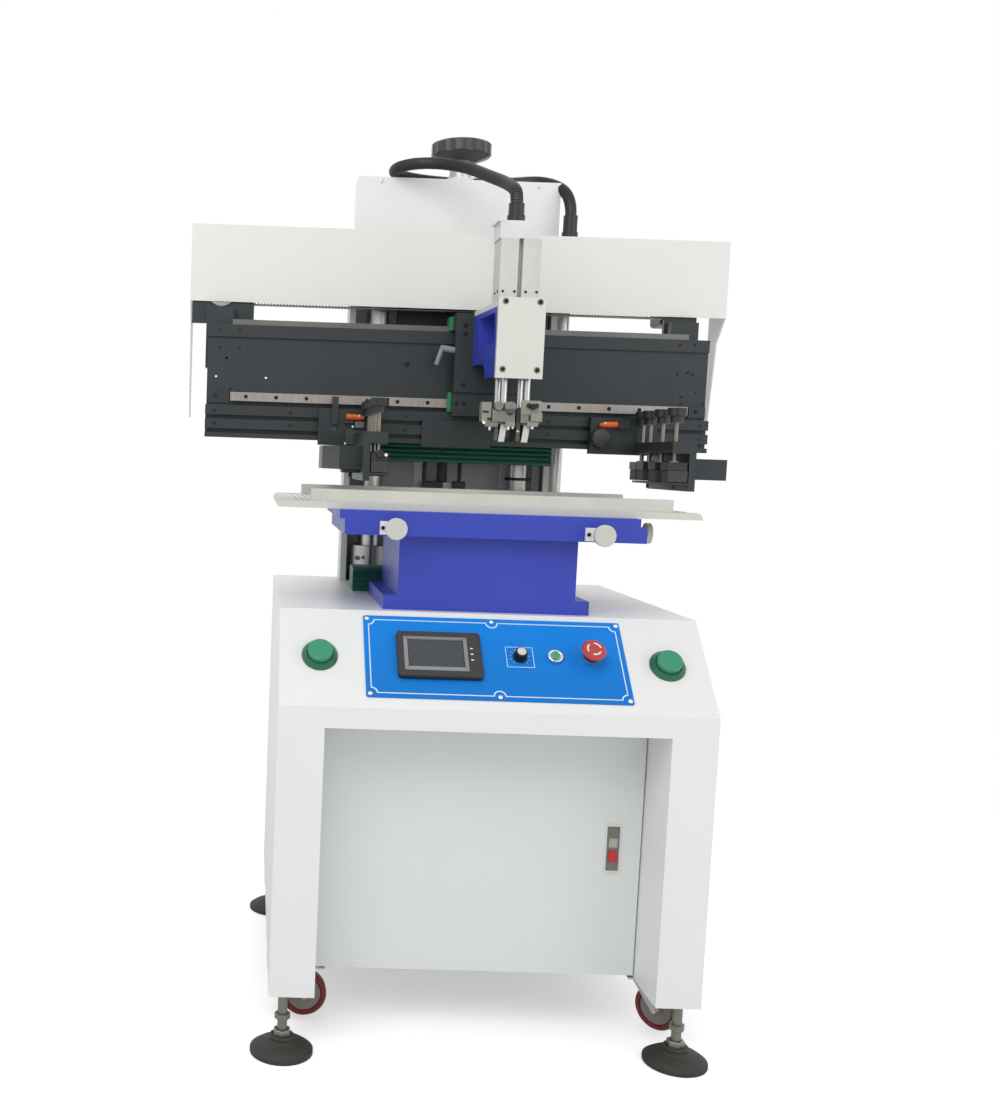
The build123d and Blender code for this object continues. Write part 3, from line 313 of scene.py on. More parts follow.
class Value:
    """An output socket, so that maths on it is written as plain expressions."""

    def __init__(self, nodes, socket):
        self.nodes = nodes
        self.socket = socket

    __add__, __radd__ = maths("ADD"), maths("ADD", True)
    __sub__, __rsub__ = maths("SUBTRACT"), maths("SUBTRACT", True)
    __mul__, __rmul__ = maths("MULTIPLY"), maths("MULTIPLY", True)
    __truediv__, __pow__ = maths("DIVIDE"), maths("POWER")
    __gt__, __lt__ = maths("GREATER_THAN"), maths("LESS_THAN")
    __abs__, fraction, sine, larger = maths("ABSOLUTE"), maths("FRACT"), maths("SINE"), maths("MAXIMUM")


class Nodes:
    """Adds nodes to one tree."""

    def __init__(self, tree):
        self.tree = tree

    def node(self, kind, settings=None, inputs=None, output=0):
        """Adds a node with its settings and the values or links of its sockets."""
        node = self.tree.nodes.new(kind)
        for key, value in (settings or {}).items():
            setattr(node, key, value)
        for key, value in (inputs or {}).items():
            if isinstance(value, Value):
                self.tree.links.new(value.socket, node.inputs[key])
            else:
                node.inputs[key].default_value = value
        return Value(self, node.outputs[output]) if node.outputs else None

    def vector(self, operation, *values, output=0):
        return self.node("ShaderNodeVectorMath", {"operation": operation}, dict(enumerate(values)), output)

    def ray(self, kind):
        return self.node("ShaderNodeLightPath", output=f"Is {kind} Ray")

    def mix_shaders(self, share, first, second):
        return self.node("ShaderNodeMixShader", inputs={0: share, 1: first, 2: second})


def shaded(colour, factor):
    return tuple(min(1.0, channel * factor) for channel in colour)


class Finish(Nodes):
    """One material's nodes, read from the piece's own coordinates."""

    def __init__(self, name, colour, roughness, metallic=0.0):
        self.material = bpy.data.materials.new(name)
        self.material.use_nodes = True
        super().__init__(self.material.node_tree)
        self.shader = self.tree.nodes["Principled BSDF"]
        self.fixed("Base Color", (*colour, 1))
        self.fixed("Roughness", roughness)
        self.fixed("Metallic", metallic)
        self.colour = colour
        self.position = self.node("ShaderNodeTexCoord", output="Object")

    def fixed(self, socket, value):
        self.shader.inputs[socket].default_value = value

    def coat(self, weight, roughness):
        self.fixed("Coat Weight", weight)
        self.fixed("Coat Roughness", roughness)

    def surface(self, colour, roughness, bump=None, metallic=None):
        """Feeds what changes over the piece, the bump as height, strength and distance."""
        normal = None
        if bump:
            inputs = dict(zip(("Height", "Strength", "Distance"), bump))
            normal = self.node("ShaderNodeBump", inputs=inputs)
        fed = {"Base Color": colour, "Roughness": roughness, "Normal": normal, "Metallic": metallic}
        for socket, value in fed.items():
            if value is not None:
                self.tree.links.new(value.socket, self.shader.inputs[socket])
        return self.material

    def axes(self):
        split = self.node("ShaderNodeSeparateXYZ", inputs={0: self.position}).socket.node
        return [Value(self, socket) for socket in split.outputs]

    def noise(self, scale, detail=3.0, stretch=None):
        vector = self.position
        if stretch:
            vector = self.node("ShaderNodeMapping", inputs={"Vector": vector, "Scale": stretch})
        return self.node("ShaderNodeTexNoise", inputs={"Vector": vector, "Scale": scale, "Detail": detail})

    def mix(self, share, first, second):
        """Mixes two colours, each a tuple or a link."""
        first, second = ((*side, 1) if isinstance(side, tuple) else side for side in (first, second))
        return self.node("ShaderNodeMix", {"data_type": "RGBA"}, {0: share, 6: first, 7: second}, output=2)

    def mottled(self, amount, scale):
        """The base colour, a little darker and lighter in soft patches."""
        dark, light = shaded(self.colour, 1 - amount), shaded(self.colour, 1 + amount)
        return self.mix(self.noise(scale, 4.0), dark, light)


def powder_coat(name, colour, roughness=0.42, grain=0.35):
    finish = Finish(name, colour, roughness)
    finish.coat(0.12, 0.25)
    rough = roughness - 0.05 + finish.noise(12.0) * 0.1
    return finish.surface(finish.mottled(0.025, 5.0), rough, (finish.noise(900.0, 2.0), grain, 0.00012))


def worn_paint(name, colour):
    """Satin paint on machined castings, with faint cutter lines under it."""
    finish = Finish(name, colour, 0.38)
    lines = finish.noise(240.0, 2.0, (0.15, 1.0, 1.0))
    rough = 0.30 + finish.noise(20.0) * 0.18
    return finish.surface(finish.mottled(0.10, 9.0), rough, (lines, 0.25, 0.00015))


def anodised(name, colour, roughness=0.42, metallic=0.35):
    """Anodised aluminium with a fine drawn grain along X."""
    finish = Finish(name, colour, roughness, metallic)
    grain = finish.noise(700.0, 2.0, (0.05, 1.0, 1.0))
    return finish.surface(finish.mottled(0.14, 14.0), roughness - 0.08 + grain * 0.16, (grain, 0.18, 0.00008))


def bright_metal(name, colour, roughness, stretch=None):
    finish = Finish(name, colour, roughness, 1.0)
    grain = finish.noise(500.0, 3.0, stretch)
    return finish.surface(finish.mottled(0.08, 18.0), roughness - 0.05 + grain * 0.12, (grain, 0.12, 0.00006))


def moulded(name, colour, roughness=0.35, grain=0.15):
    finish = Finish(name, colour, roughness)
    rough = roughness - 0.04 + finish.noise(60.0) * 0.08
    return finish.surface(finish.mottled(0.06, 30.0), rough, (finish.noise(700.0, 2.0), grain, 0.0001))


def dusty_rubber(name, colour):
    finish = Finish(name, colour, 0.62)
    dust = finish.noise(35.0, 5.0)
    pale = tuple(min(1.0, channel * 1.7 + 0.015) for channel in colour)
    return finish.surface(
        finish.mix(dust ** 2.0, colour, pale), 0.54 + dust * 0.16, (finish.noise(420.0), 0.3, 0.0002)
    )


def columns_steel_and_reflections(name, collar_top, steel, satin):
    """Ground columns with soft upright streaks of painted reflection, standing in satin collars."""
    finish = Finish(name, steel, 0.34, 1.0)
    collar = finish.axes()[2] < collar_top
    grain = finish.noise(420.0, 3.0, (1.0, 1.0, 0.04))
    # Painted reflection: the bare steel darkens to 72 per cent in soft upright streaks.
    bare_with_reflection_streaks = finish.mix(finish.noise(55.0, 2.0, (1.0, 1.0, 0.02)), shaded(steel, 0.72), steel)
    rough = 0.30 + grain * 0.10 + collar * 0.12
    return finish.surface(finish.mix(collar, bare_with_reflection_streaks, satin), rough, (grain, 0.12, 0.00006))


def housing_paint_and_shade(name, white, inside, ribs):
    """White outside, mid grey inside as painted shade, with paler grey upright ribs, brighter than the
    outside white as painted light.
    """
    finish = Finish(name, white, 0.42)
    x, y, z = finish.axes()
    low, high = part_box("rear_housing")
    edge = 1.2 * MM
    inner = (abs(x) < high[0] - edge) * (y < high[1] - edge) * (y > low[1] + edge) * (z < high[2] - edge)
    rib = (y < high[1] - 6 * MM) * (abs(x) < high[0] - 8 * MM) * (z < high[2] - 8 * MM)
    # Painted shade: the inner walls take a mottled mid grey; painted light: the ribs take a paler grey
    # brighter than the outside white.
    shade = finish.mix(finish.noise(7.0), shaded(inside, 0.9), inside)
    base = finish.mix(inner, white, finish.mix(rib, shade, ribs))
    return finish.surface(base, 0.38 + finish.noise(12.0) * 0.1, (finish.noise(900.0, 2.0), 0.35, 0.00012))


def clamp_studs_and_reflections(name, blocks_top, knobs_foot, steels, black, reflection_streak_colour):
    """Studs of silver, brass and copper colour, darker in upright streaks of painted reflection, between
    black pads and black star knobs.
    """
    finish = Finish(name, black, 0.38)
    y, z = finish.axes()[1:]
    stud = (z > blocks_top) * (z < knobs_foot)
    metal = finish.mix((y * 9.3 + 7.31).fraction(), *steels)
    # Painted reflection: the studs darken towards a brownish grey in soft upright streaks.
    metal = finish.mix(finish.noise(60.0, 2.0, (1.0, 1.0, 0.05)) * 0.5, metal, reflection_streak_colour)
    base = finish.mix(stud, finish.mottled(0.15, 40.0), metal)
    rough = 0.38 - stud * 0.06 + finish.noise(80.0) * 0.08
    return finish.surface(base, rough, (finish.noise(500.0, 2.0), 0.12, 0.0001), stud * 0.85)


def rail_steel_and_painted_light(name, split, steel, warm_reflection, upper):
    """Ground steel with upright machining marks in warmer patches of painted reflection, darker on the upper
    rail as painted shade.
    """
    finish = Finish(name, steel, 0.3, 0.9)
    marks = finish.noise(300.0, 3.0, (1.0, 0.05, 0.05))
    patches = finish.noise(11.0, 3.0, (1.0, 0.2, 0.2))
    # Painted reflection: warm brown patches on the lower rail. Painted shade: the upper rail's darker pair of
    # greys.
    lower_rail = finish.mix(patches * 0.8, finish.mix(marks, warm_reflection, steel), steel)
    base = finish.mix(finish.axes()[2] > split, lower_rail, finish.mix(patches, *upper))
    return finish.surface(base, 0.30 + marks * 0.14, (marks, 0.12, 0.00006))


def split_by_height(name, height, below, above, roughness, metallic):
    """One colour below a height and another above it, for a node of two metals or plastics."""
    finish = Finish(name, below, roughness[0])
    high = finish.axes()[2] > height
    grain = finish.noise(420.0)
    shade = finish.mix(finish.noise(25.0) * 0.25, finish.mix(high, below, above), (0.0, 0.0, 0.0))
    rough = roughness[0] + high * (roughness[1] - roughness[0]) + grain * 0.06
    return finish.surface(
        shade, rough, (grain, 0.15, 0.0001), metallic[0] + high * (metallic[1] - metallic[0])
    )


def control_print_and_shade(name, colour):
    """The control plate's printed face, a touch deeper towards its lower edge as painted shade."""
    finish = Finish(name, colour, 0.3)
    foot, top = foot_of("control_plate"), top_of("control_plate")
    # Painted shade: the print darkens to 78 per cent from the top edge down to the lower edge.
    base = finish.mix((finish.axes()[2] - foot) / (top - foot), shaded(colour, 0.78), colour)
    finish.fixed("Specular IOR Level", 0.22)
    return finish.surface(base, 0.40 + finish.noise(60.0) * 0.08, (finish.noise(1200.0, 1.0), 0.05, 0.00005))


def bezels_finish(name, green, metal):
    """Green start-button collars, with the lamp and the stop button's collar in bright metal between."""
    finish = Finish(name, green, 0.25)
    lamp_or_stop = abs(finish.axes()[0]) < 0.22
    rough = 0.24 + finish.noise(90.0) * 0.08
    return finish.surface(finish.mix(lamp_or_stop, green, metal), rough, metallic=lamp_or_stop)


def pleated_with_fold_shade(name, colour):
    """Coated bellows cloth, darker in the folds of its pleats as painted shade."""
    finish = Finish(name, colour, 0.5)
    pitch = 4.6 * MM
    wave = (finish.axes()[2] * (math.tau / pitch) + finish.noise(14.0) * 1.6).sine()
    # Painted shade: the colour falls to 42 per cent in the fold of each pleat.
    base = finish.mix(wave * 0.5 + 0.5, shaded(colour, 0.42), colour)
    return finish.surface(base, 0.42 + finish.noise(50.0) * 0.15, (wave, 0.5, 0.0008))


def tyre_finish(name, colour, hub):
    """A dark red tyre round a grey hub, measured from the wheel's own axle."""
    finish = Finish(name, colour, 0.4)
    wheel = joint(name.replace("tyre", "roll"))
    offset = finish.vector("SUBTRACT", finish.position, Vector(wheel["pos_m"]))
    across = finish.vector("CROSS_PRODUCT", offset, Vector(wheel["axis"]))
    tread = finish.vector("LENGTH", across, output=1) > 28.5 * MM
    rough = 0.38 + finish.noise(60.0) * 0.15
    return finish.surface(finish.mix(tread, hub, colour), rough, (finish.noise(300.0), 0.15, 0.0002))


def perforated_table(name, colour):
    """Clear anodised plate with a grid of small holes near its two ends, painted as dark dots of painted
    shade.
    """
    finish = Finish(name, colour, 0.42, 0.25)
    x, y, z = finish.axes()
    low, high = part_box("board_table")
    pitch, radius, rows, rim = 10 * MM, 2.1 * MM, 105 * MM, 30 * MM
    centre, half = (low[0] + high[0]) / 2, (high[0] - low[0]) / 2

    def cell(axis):
        return abs((axis * (1 / pitch) + 100.0).fraction() - 0.5) * pitch

    dot = (cell(x) ** 2.0 + cell(y) ** 2.0) ** 0.5 < radius
    from_middle = abs(x - centre)
    holes = dot * (from_middle > half - rows) * (from_middle < half - rim) * (z > high[2] - 0.5 * MM)
    # Painted shade: each hole is a near-black dot on the plate's top face.
    base = finish.mix(holes, finish.mottled(0.04, 10.0), (0.05, 0.05, 0.05))
    grain = finish.noise(600.0, 2.0, (0.05, 1.0, 1.0))
    return finish.surface(base, 0.36 + finish.noise(30.0) * 0.14, (grain, 0.1, 0.0001), 0.25 - holes * 0.25)


def glassy(name, colour, roughness, glow=0.0):
    finish = Finish(name, colour, roughness)
    finish.coat(0.6, 0.05)
    if glow:
        finish.fixed("Emission Color", (*colour, 1))
        finish.fixed("Emission Strength", glow)
    return finish.surface(None, roughness + finish.noise(8.0) * 0.06)


# Settings shown in the sidebar

def colour_setting(name, description, default):
    return bpy.props.FloatVectorProperty(
        name=name, description=description, subtype="COLOR", size=3, min=0, max=1, default=default
    )


def length_setting(name, description, default, low, high):
    return bpy.props.FloatProperty(
        name=name, description=description, unit="LENGTH", default=default * MM, min=low * MM, max=high * MM
    )


class PrinterColours(bpy.types.PropertyGroup):
    white: colour_setting("White panels", "Powder coat of the cabinet and covers", (0.80, 0.80, 0.79))
    blue: colour_setting(
        "Blue castings", "Paint of the pedestal, plates and squeegee bracket", (0.028, 0.052, 0.42)
    )
    plate: colour_setting("Control plate", "Printed face of the control plate", (0.002, 0.225, 0.74))
    black: colour_setting("Black anodising", "Beam, rails' carriage and stencil arms", (0.030, 0.036, 0.039))
    green: colour_setting("Green", "Start buttons", (0.030, 0.27, 0.14))
    table: colour_setting("Table", "Board table and its rails", (0.60, 0.60, 0.55))


class PrinterSizes(bpy.types.PropertyGroup):
    cover_screw: length_setting("Cover screws", "Head radius of the small round-headed screws", 4.5, 1, 10)
    socket_screw: length_setting("Socket screws", "Head radius of the larger socket screws", 5, 1, 12)
    rib_pitch: length_setting("Conduit ribs", "Distance from rib to rib on the conduit", 3.8, 2, 10)
    border: length_setting("Plate border", "Width of the white line round the control plate", 2.5, 0.3, 4)
    belt_tooth: length_setting("Belt tooth pitch", "Distance from tooth to tooth on the belt", 6.5, 2, 12)


class PrinterStage(bpy.types.PropertyGroup):
    camera_place: bpy.props.FloatVectorProperty(
        name="Camera place", description="Where the camera stands", subtype="TRANSLATION", size=3,
        default=(-0.4068, -2.2220, 0.9704),
    )
    camera_turn: bpy.props.FloatVectorProperty(
        name="Camera turn", description="The camera's rotation", subtype="EULER", size=3,
        default=tuple(math.radians(angle) for angle in (84.976, -1.906, -0.313)),
    )
    lens: bpy.props.FloatProperty(
        name="Lens", description="Focal length in millimetres on a 36 mm sensor", default=43.34,
        min=10, max=200,
    )
    shift: bpy.props.FloatVectorProperty(
        name="Shift", description="The photograph's crop as a lens shift", size=2, default=(0.2426, 0.0112),
    )
    key_power: bpy.props.FloatProperty(
        name="Key light", description="Power of the large overhead lamp in watts", default=60.0,
        min=0, max=500,
    )


def sizes():
    return bpy.context.scene.printer_sizes


# Heights at which a solid changes from one material to another

FOOT_RUBBER_TOP = 26 * MM
LIFT_RODS_FOOT = 905 * MM
PADS_TOP = 987.2 * MM
UPPER_RAIL_FOOT = 1150 * MM
CYLINDER_CAP_FOOT = 1375.1 * MM
COLLARS_TOP = top_of("cabinet_top") + 74.5 * MM
BARS_TOP = foot_of("left_squeegee") + 64 * MM
STAR_KNOBS_FOOT = top_of("left_arm_clamps") - 25.8 * MM
SHAFT_TOP = top_of("handwheel") - 37.2 * MM

# Every finish by name: its maker and what that takes. A word is one of the sidebar's colours.

CREAM = (0.69, 0.685, 0.63)

FINISHES = {
    "white_powder_coat": (powder_coat, "white"),
    "door_powder_coat": (powder_coat, (0.715, 0.745, 0.725)),
    "cover_enamel": (powder_coat, (0.79, 0.78, 0.75)),
    # The housing's mid grey inside is painted shade, and its paler ribs are painted light.
    "rear_housing_paint": (housing_paint_and_shade, "white", (0.67, 0.67, 0.66), (0.90, 0.93, 0.97)),
    "cream_enamel": (powder_coat, CREAM, 0.4, 0.15),
    "cylinder_enamel": (
        split_by_height, CYLINDER_CAP_FOOT, CREAM, (0.80, 0.80, 0.80), (0.4, 0.4), (0.0, 0.0)
    ),
    "blue_casting_paint": (worn_paint, "blue"),
    "control_plate_print": (control_print_and_shade, "plate"),
    "perforated_table": (perforated_table, "table"),
    # The columns' upright streaks are painted reflection.
    "ground_columns": (columns_steel_and_reflections, COLLARS_TOP, (0.62, 0.61, 0.60), (0.50, 0.50, 0.49)),
    # Warm patches of painted reflection, and a darker upper rail as painted shade.
    "ground_rails": (
        rail_steel_and_painted_light, UPPER_RAIL_FOOT, (0.38, 0.365, 0.35), (0.17, 0.112, 0.082),
        ((0.10, 0.098, 0.092), (0.20, 0.195, 0.18)),
    ),
    "lift_cylinder_metal": (
        split_by_height, LIFT_RODS_FOOT, (0.16, 0.165, 0.17), (0.60, 0.58, 0.54), (0.4, 0.34), (0.5, 0.55)
    ),
    "foot_rubber_and_stem": (
        split_by_height, FOOT_RUBBER_TOP, (0.030, 0.031, 0.025), (0.25, 0.26, 0.215), (0.62, 0.38), (0.0, 0.8)
    ),
    "handwheel_and_shaft": (
        split_by_height, SHAFT_TOP, (0.60, 0.59, 0.57), (0.040, 0.042, 0.046), (0.34, 0.27), (0.9, 0.0)
    ),
    "squeegee_bars": (
        split_by_height, BARS_TOP, (0.20, 0.21, 0.175), (0.60, 0.60, 0.60), (0.42, 0.2), (0.1, 1.0)
    ),
    "clamp_studs": (
        clamp_studs_and_reflections, PADS_TOP, STAR_KNOBS_FOOT, ((0.27, 0.26, 0.235), (0.25, 0.19, 0.15)),
        (0.014, 0.015, 0.015), (0.12, 0.11, 0.10),
    ),
    "green_bellows": (pleated_with_fold_shade, (0.056, 0.255, 0.172)),
    "button_bezels": (bezels_finish, (0.014, 0.13, 0.065), (0.66, 0.66, 0.67)),
    **{f"{castor}_tyre": (tyre_finish, (0.16, 0.012, 0.018), (0.22, 0.20, 0.19)) for castor in CASTORS},
    "screen_glass": (glassy, (0.017, 0.024, 0.032), 0.12),
    "lamp_green": (glassy, (0.01, 0.30, 0.09), 0.2, 0.12),
    # Anodised metal
    "black_anodised": (anodised, "black"),
    "clear_anodised": (anodised, "table", 0.42, 0.2),
    # Black oxide of the screws, also the painted shade of the left jaw's slot and notch.
    "black_oxide_screws": (anodised, (0.02, 0.02, 0.022), 0.32, 0.6),
    "rim_grey": (anodised, (0.26, 0.26, 0.25), 0.4, 0.2),
    "ring_steel": (anodised, (0.05, 0.052, 0.054), 0.4, 0.5),
    "clamp_olive": (anodised, (0.27, 0.28, 0.225), 0.42, 0.15),
    "clamp_grey": (anodised, (0.20, 0.205, 0.19), 0.4, 0.25),
    "clamp_shadow_grey": (anodised, (0.09, 0.095, 0.085), 0.45, 0.3),
    "arm_plate_grey": (anodised, (0.058, 0.061, 0.061), 0.45, 0.2),
    "washer_metal": (anodised, (0.34, 0.27, 0.22), 0.35, 0.7),
    # Bare metal
    "zinc_screws": (bright_metal, (0.72, 0.72, 0.70), 0.22),
    "zinc_sheet": (bright_metal, (0.42, 0.42, 0.43), 0.4, (1.0, 0.2, 1.0)),
    "zinc_castors": (bright_metal, (0.5, 0.5, 0.49), 0.35),
    "pulley_metal": (bright_metal, (0.34, 0.34, 0.31), 0.42),
    "foot_steel": (bright_metal, (0.27, 0.275, 0.23), 0.4),
    "lamp_ring": (bright_metal, (0.75, 0.75, 0.76), 0.14),
    # Plastic and print
    "white_print": (moulded, (0.74, 0.83, 0.90), 0.4, 0.03),
    "stop_marks_white": (moulded, (0.78, 0.74, 0.72), 0.35, 0.03),
    "stop_red": (moulded, (0.44, 0.045, 0.050), 0.28, 0.04),
    "green_moulding": (moulded, "green", 0.25, 0.05),
    "wiper_green": (moulded, (0.022, 0.25, 0.085), 0.3, 0.05),
    "black_moulding": (moulded, (0.012, 0.012, 0.013), 0.38),
    "conduit_black": (moulded, (0.030, 0.031, 0.033), 0.42, 0.1),
    "screen_bezel": (moulded, (0.022, 0.021, 0.018), 0.42, 0.2),
    "screen_rim": (moulded, (0.23, 0.235, 0.25), 0.4, 0.1),
    "pale_knob": (moulded, (0.56, 0.56, 0.50), 0.4, 0.2),
    "knob_cap": (moulded, (0.66, 0.64, 0.58), 0.3, 0.05),
    "knob_charcoal": (moulded, (0.034, 0.036, 0.036), 0.45, 0.2),
    "lock_grey": (moulded, (0.17, 0.165, 0.14), 0.4, 0.15),
    "lock_pull": (moulded, (0.40, 0.39, 0.34), 0.35, 0.1),
    "lock_red": (moulded, (0.55, 0.02, 0.02), 0.3, 0.05),
    "blade_cream": (moulded, (0.66, 0.65, 0.58), 0.45, 0.1),
    "sensor_orange": (moulded, (0.80, 0.13, 0.015), 0.35, 0.05),
    "clip_grey": (moulded, (0.13, 0.135, 0.135), 0.4, 0.1),
    "lever_grey": (moulded, (0.24, 0.25, 0.25), 0.4, 0.3),
    # Rubber
    "belt_rubber": (dusty_rubber, (0.30, 0.30, 0.28)),
    "belt_teeth": (dusty_rubber, (0.035, 0.035, 0.030)),
    "pad_rubber": (dusty_rubber, (0.028, 0.030, 0.029)),
    "ring_rubber": (dusty_rubber, (0.020, 0.021, 0.021)),
    "foot_rubber": (dusty_rubber, (0.024, 0.025, 0.021)),
}

NODES_PAINTED = {
    "white_powder_coat": "front_frame side_panels rear_panel cabinet_top top_housing adjuster_blocks",
    "door_powder_coat": "door",
    "cover_enamel": "head_cover",
    "rear_housing_paint": "rear_housing",
    "cream_enamel": "front_plate",
    "cylinder_enamel": "cylinder_cover",
    "blue_casting_paint": "pedestal table_plates squeegee_bracket",
    "black_anodised": (
        "beam_plate beam_extrusion bearing_carrier belt_brackets carriage_plate "
        "left_stencil_arm right_stencil_arm"
    ),
    "control_plate_print": "control_plate",
    "perforated_table": "board_table",
    "clear_anodised": "table_rails",
    "pale_knob": "left_adjusting_knob right_adjusting_knob side_adjusting_knob",
    "ground_columns": "guide_columns",
    "ground_rails": "beam_rails",
    "pulley_metal": "belt_pulleys",
    "lift_cylinder_metal": "lift_cylinder",
    "green_bellows": "lower_bellows upper_bellows",
    "zinc_sheet": "cabinet_floor",
    "zinc_castors": "castor_plates " + " ".join(f"{castor}_castor_fork" for castor in CASTORS),
    **{f"{castor}_tyre": f"{castor}_castor_wheel" for castor in CASTORS},
    "foot_rubber_and_stem": "levelling_feet",
    "screen_bezel": "touch_screen",
    "button_bezels": "button_bezels",
    "green_moulding": "left_start_button right_start_button",
    "stop_red": "emergency_stop",
    "black_moulding": "speed_knob conduit_glands carriage_gland",
    "belt_rubber": "drive_belt",
    "handwheel_and_shaft": "handwheel",
    "wiper_green": "rail_wipers",
    "squeegee_bars": "left_squeegee right_squeegee",
    "clamp_studs": "left_arm_clamps right_arm_clamps",
}

finishes_made = {}


def finish_named(name):
    """A finish of the list above, made when it is first asked for."""
    if name not in finishes_made:
        maker, *given = FINISHES[name]
        colours = bpy.context.scene.printer_colours
        given = [tuple(getattr(colours, word)) if isinstance(word, str) else word for word in given]
        finishes_made[name] = maker(name, *given)
    return finishes_made[name]


# Operators, one for each piece or group of like pieces

class PRINTER_OT_finishes(bpy.types.Operator):
    """Gives every carried-over solid its own finish"""

    bl_idname = "printer.finishes"
    bl_label = "Finishes"

    def execute(self, context):
        for finish, nodes in NODES_PAINTED.items():
            for node in nodes.split():
                obj = frame["nodes"][node]
                if not obj.material_slots:
                    obj.data.materials.append(None)
                for slot in obj.material_slots:
                    slot.material = finish_named(finish)
        return {"FINISHED"}


class PRINTER_OT_stage(bpy.types.Operator):
    """Floor, lamps, world and camera"""

    bl_idname = "printer.stage"
    bl_label = "Stage"

    def execute(self, context):
        self.floor()
        self.world(context.scene)
        self.lamps(context.scene.printer_stage.key_power)
        self.camera(context.scene)
        return {"FINISHED"}

    def floor(self):
        """A pale floor that holds the shadow and fades to plain white away from the machine."""
        start()
        bpy.ops.mesh.primitive_plane_add(size=30, location=(0, 0, -0.5 * MM))
        floor = bpy.context.object
        floor.name = "stage_floor"
        material = bpy.data.materials.new("stage_floor")
        material.use_nodes = True
        material.node_tree.nodes.clear()
        tree = Nodes(material.node_tree)
        shade = tree.node("ShaderNodeBsdfDiffuse", inputs={0: (0.86, 0.86, 0.86, 1)})
        glow = tree.node("ShaderNodeEmission", inputs={0: (1, 1, 1, 1), 1: 0.42})
        both = tree.node("ShaderNodeAddShader", inputs={0: shade, 1: glow})
        near = tree.mix_shaders(tree.ray("Camera"), shade, both)
        reach = tree.vector("LENGTH", tree.node("ShaderNodeTexCoord", output="Object"), output=1)
        fade = tree.node("ShaderNodeMapRange", inputs={"Value": reach, "From Min": 0.7, "From Max": 2.4})
        shown = tree.ray("Camera").larger(tree.ray("Glossy"))
        far = tree.mix_shaders(fade * shown, near, tree.node("ShaderNodeEmission"))
        tree.node("ShaderNodeOutputMaterial", inputs={0: far})
        floor.data.materials.append(material)

    def world(self, scene):
        """Soft light all round, and plain white wherever the camera sees it."""
        world = scene.world or bpy.data.worlds.new("studio")
        scene.world = world
        world.use_nodes = True
        world.node_tree.nodes.clear()
        tree = Nodes(world.node_tree)
        ambient = tree.node("ShaderNodeBackground", inputs={0: (0.97, 0.98, 0.985, 1), 1: 0.62})
        backdrop = tree.node("ShaderNodeBackground", inputs={0: (1, 1, 1, 1), 1: 1.0})
        shown = tree.ray("Camera").larger(tree.ray("Transmission")).larger(tree.ray("Glossy"))
        tree.node("ShaderNodeOutputWorld", inputs={0: tree.mix_shaders(shown, ambient, backdrop)})

    def lamps(self, power):
        for name, place, aim, size, watts in (
            ("key_lamp", (-1.4, -2.6, 3.4), (0, 0, 0.8), 2.4, power),
            ("fill_lamp", (2.6, -2.2, 1.9), (0, 0, 0.8), 2.6, power * 0.38),
            ("back_lamp", (0.3, 2.6, 2.9), (0, 0, 1.0), 2.4, power * 0.35),
        ):
            lamp = bpy.data.lights.new(name, "AREA")
            lamp.size = size
            lamp.energy = watts
            obj = placed(name, lamp)
            obj.location = place
            obj.rotation_euler = (Vector(aim) - Vector(place)).to_track_quat("-Z", "Y").to_euler()

    def camera(self, scene):
        stage = scene.printer_stage
        camera = bpy.data.cameras.new("camera")
        camera.sensor_fit = "HORIZONTAL"
        camera.sensor_width = 36
        camera.lens = stage.lens
        camera.shift_x, camera.shift_y = stage.shift
        camera.clip_start, camera.clip_end = 0.05, 60
        obj = placed("camera", camera)
        obj.location = stage.camera_place
        obj.rotation_euler = stage.camera_turn
        scene.camera = obj
        scene.view_settings.view_transform = "Standard"


def border_line(points, width, height):
    """A flat white line along a closed outline of points on z = 0."""
    data = bpy.data.curves.new("line", "CURVE")
    data.dimensions = "3D"
    spline = data.splines.new("POLY")
    spline.points.add(len(points) - 1)
    for point, (x, y) in zip(spline.points, points):
        point.co = (x, y, 0, 1)
    spline.use_cyclic_u = True
    data.bevel_depth = width / 2
    data.bevel_resolution = 1
    focus(placed("line", data))
    bpy.ops.object.convert(target="MESH")
    obj = bpy.context.object
    for vertex in obj.data.vertices:
        vertex.co.z *= height / width
    return obj


def arc(centre, radius, first, last, steps=7):
    angles = [math.radians(first + (last - first) * step / (steps - 1)) for step in range(steps)]
    return [(centre[0] + radius * math.cos(a), centre[1] + radius * math.sin(a)) for a in angles]


def notched_outline(half_x, half_y, radius):
    """A rectangle whose corners are scooped inwards, with a half-round inward at mid top and mid bottom."""
    return [
        point for centre, first, last, steps in (
            ((half_x, half_y), 270, 180, 7), ((0, half_y), 360, 180, 9), ((-half_x, half_y), 360, 270, 7),
            ((-half_x, -half_y), 90, 0, 7), ((0, -half_y), 180, 0, 9), ((half_x, -half_y), 180, 90, 7),
        ) for point in arc(centre, radius, first, last, steps)
    ]


def dome_screw():
    """A unit round-headed screw with a crossed recess, on z = 0."""
    head = disc("dome", 1.0, 0.55, bevel=0.38, sides=28)
    for turn in (0, 90):
        slot = cuboid("slot", (-0.62, -0.13, 0.28), (0.62, 0.13, 1.0))
        slot.rotation_euler.z = math.radians(turn + 25)
        apply_place(slot)
        cut(head, slot)
    smooth(head)
    return head


def socket_screw():
    """A unit socket-head screw with a six-sided recess, on z = 0."""
    head = disc("socket", 1.0, 0.7, bevel=0.12, sides=28)
    cut(head, disc("hexagon", 0.52, 0.8, sides=6, foot=0.25))
    smooth(head)
    return head


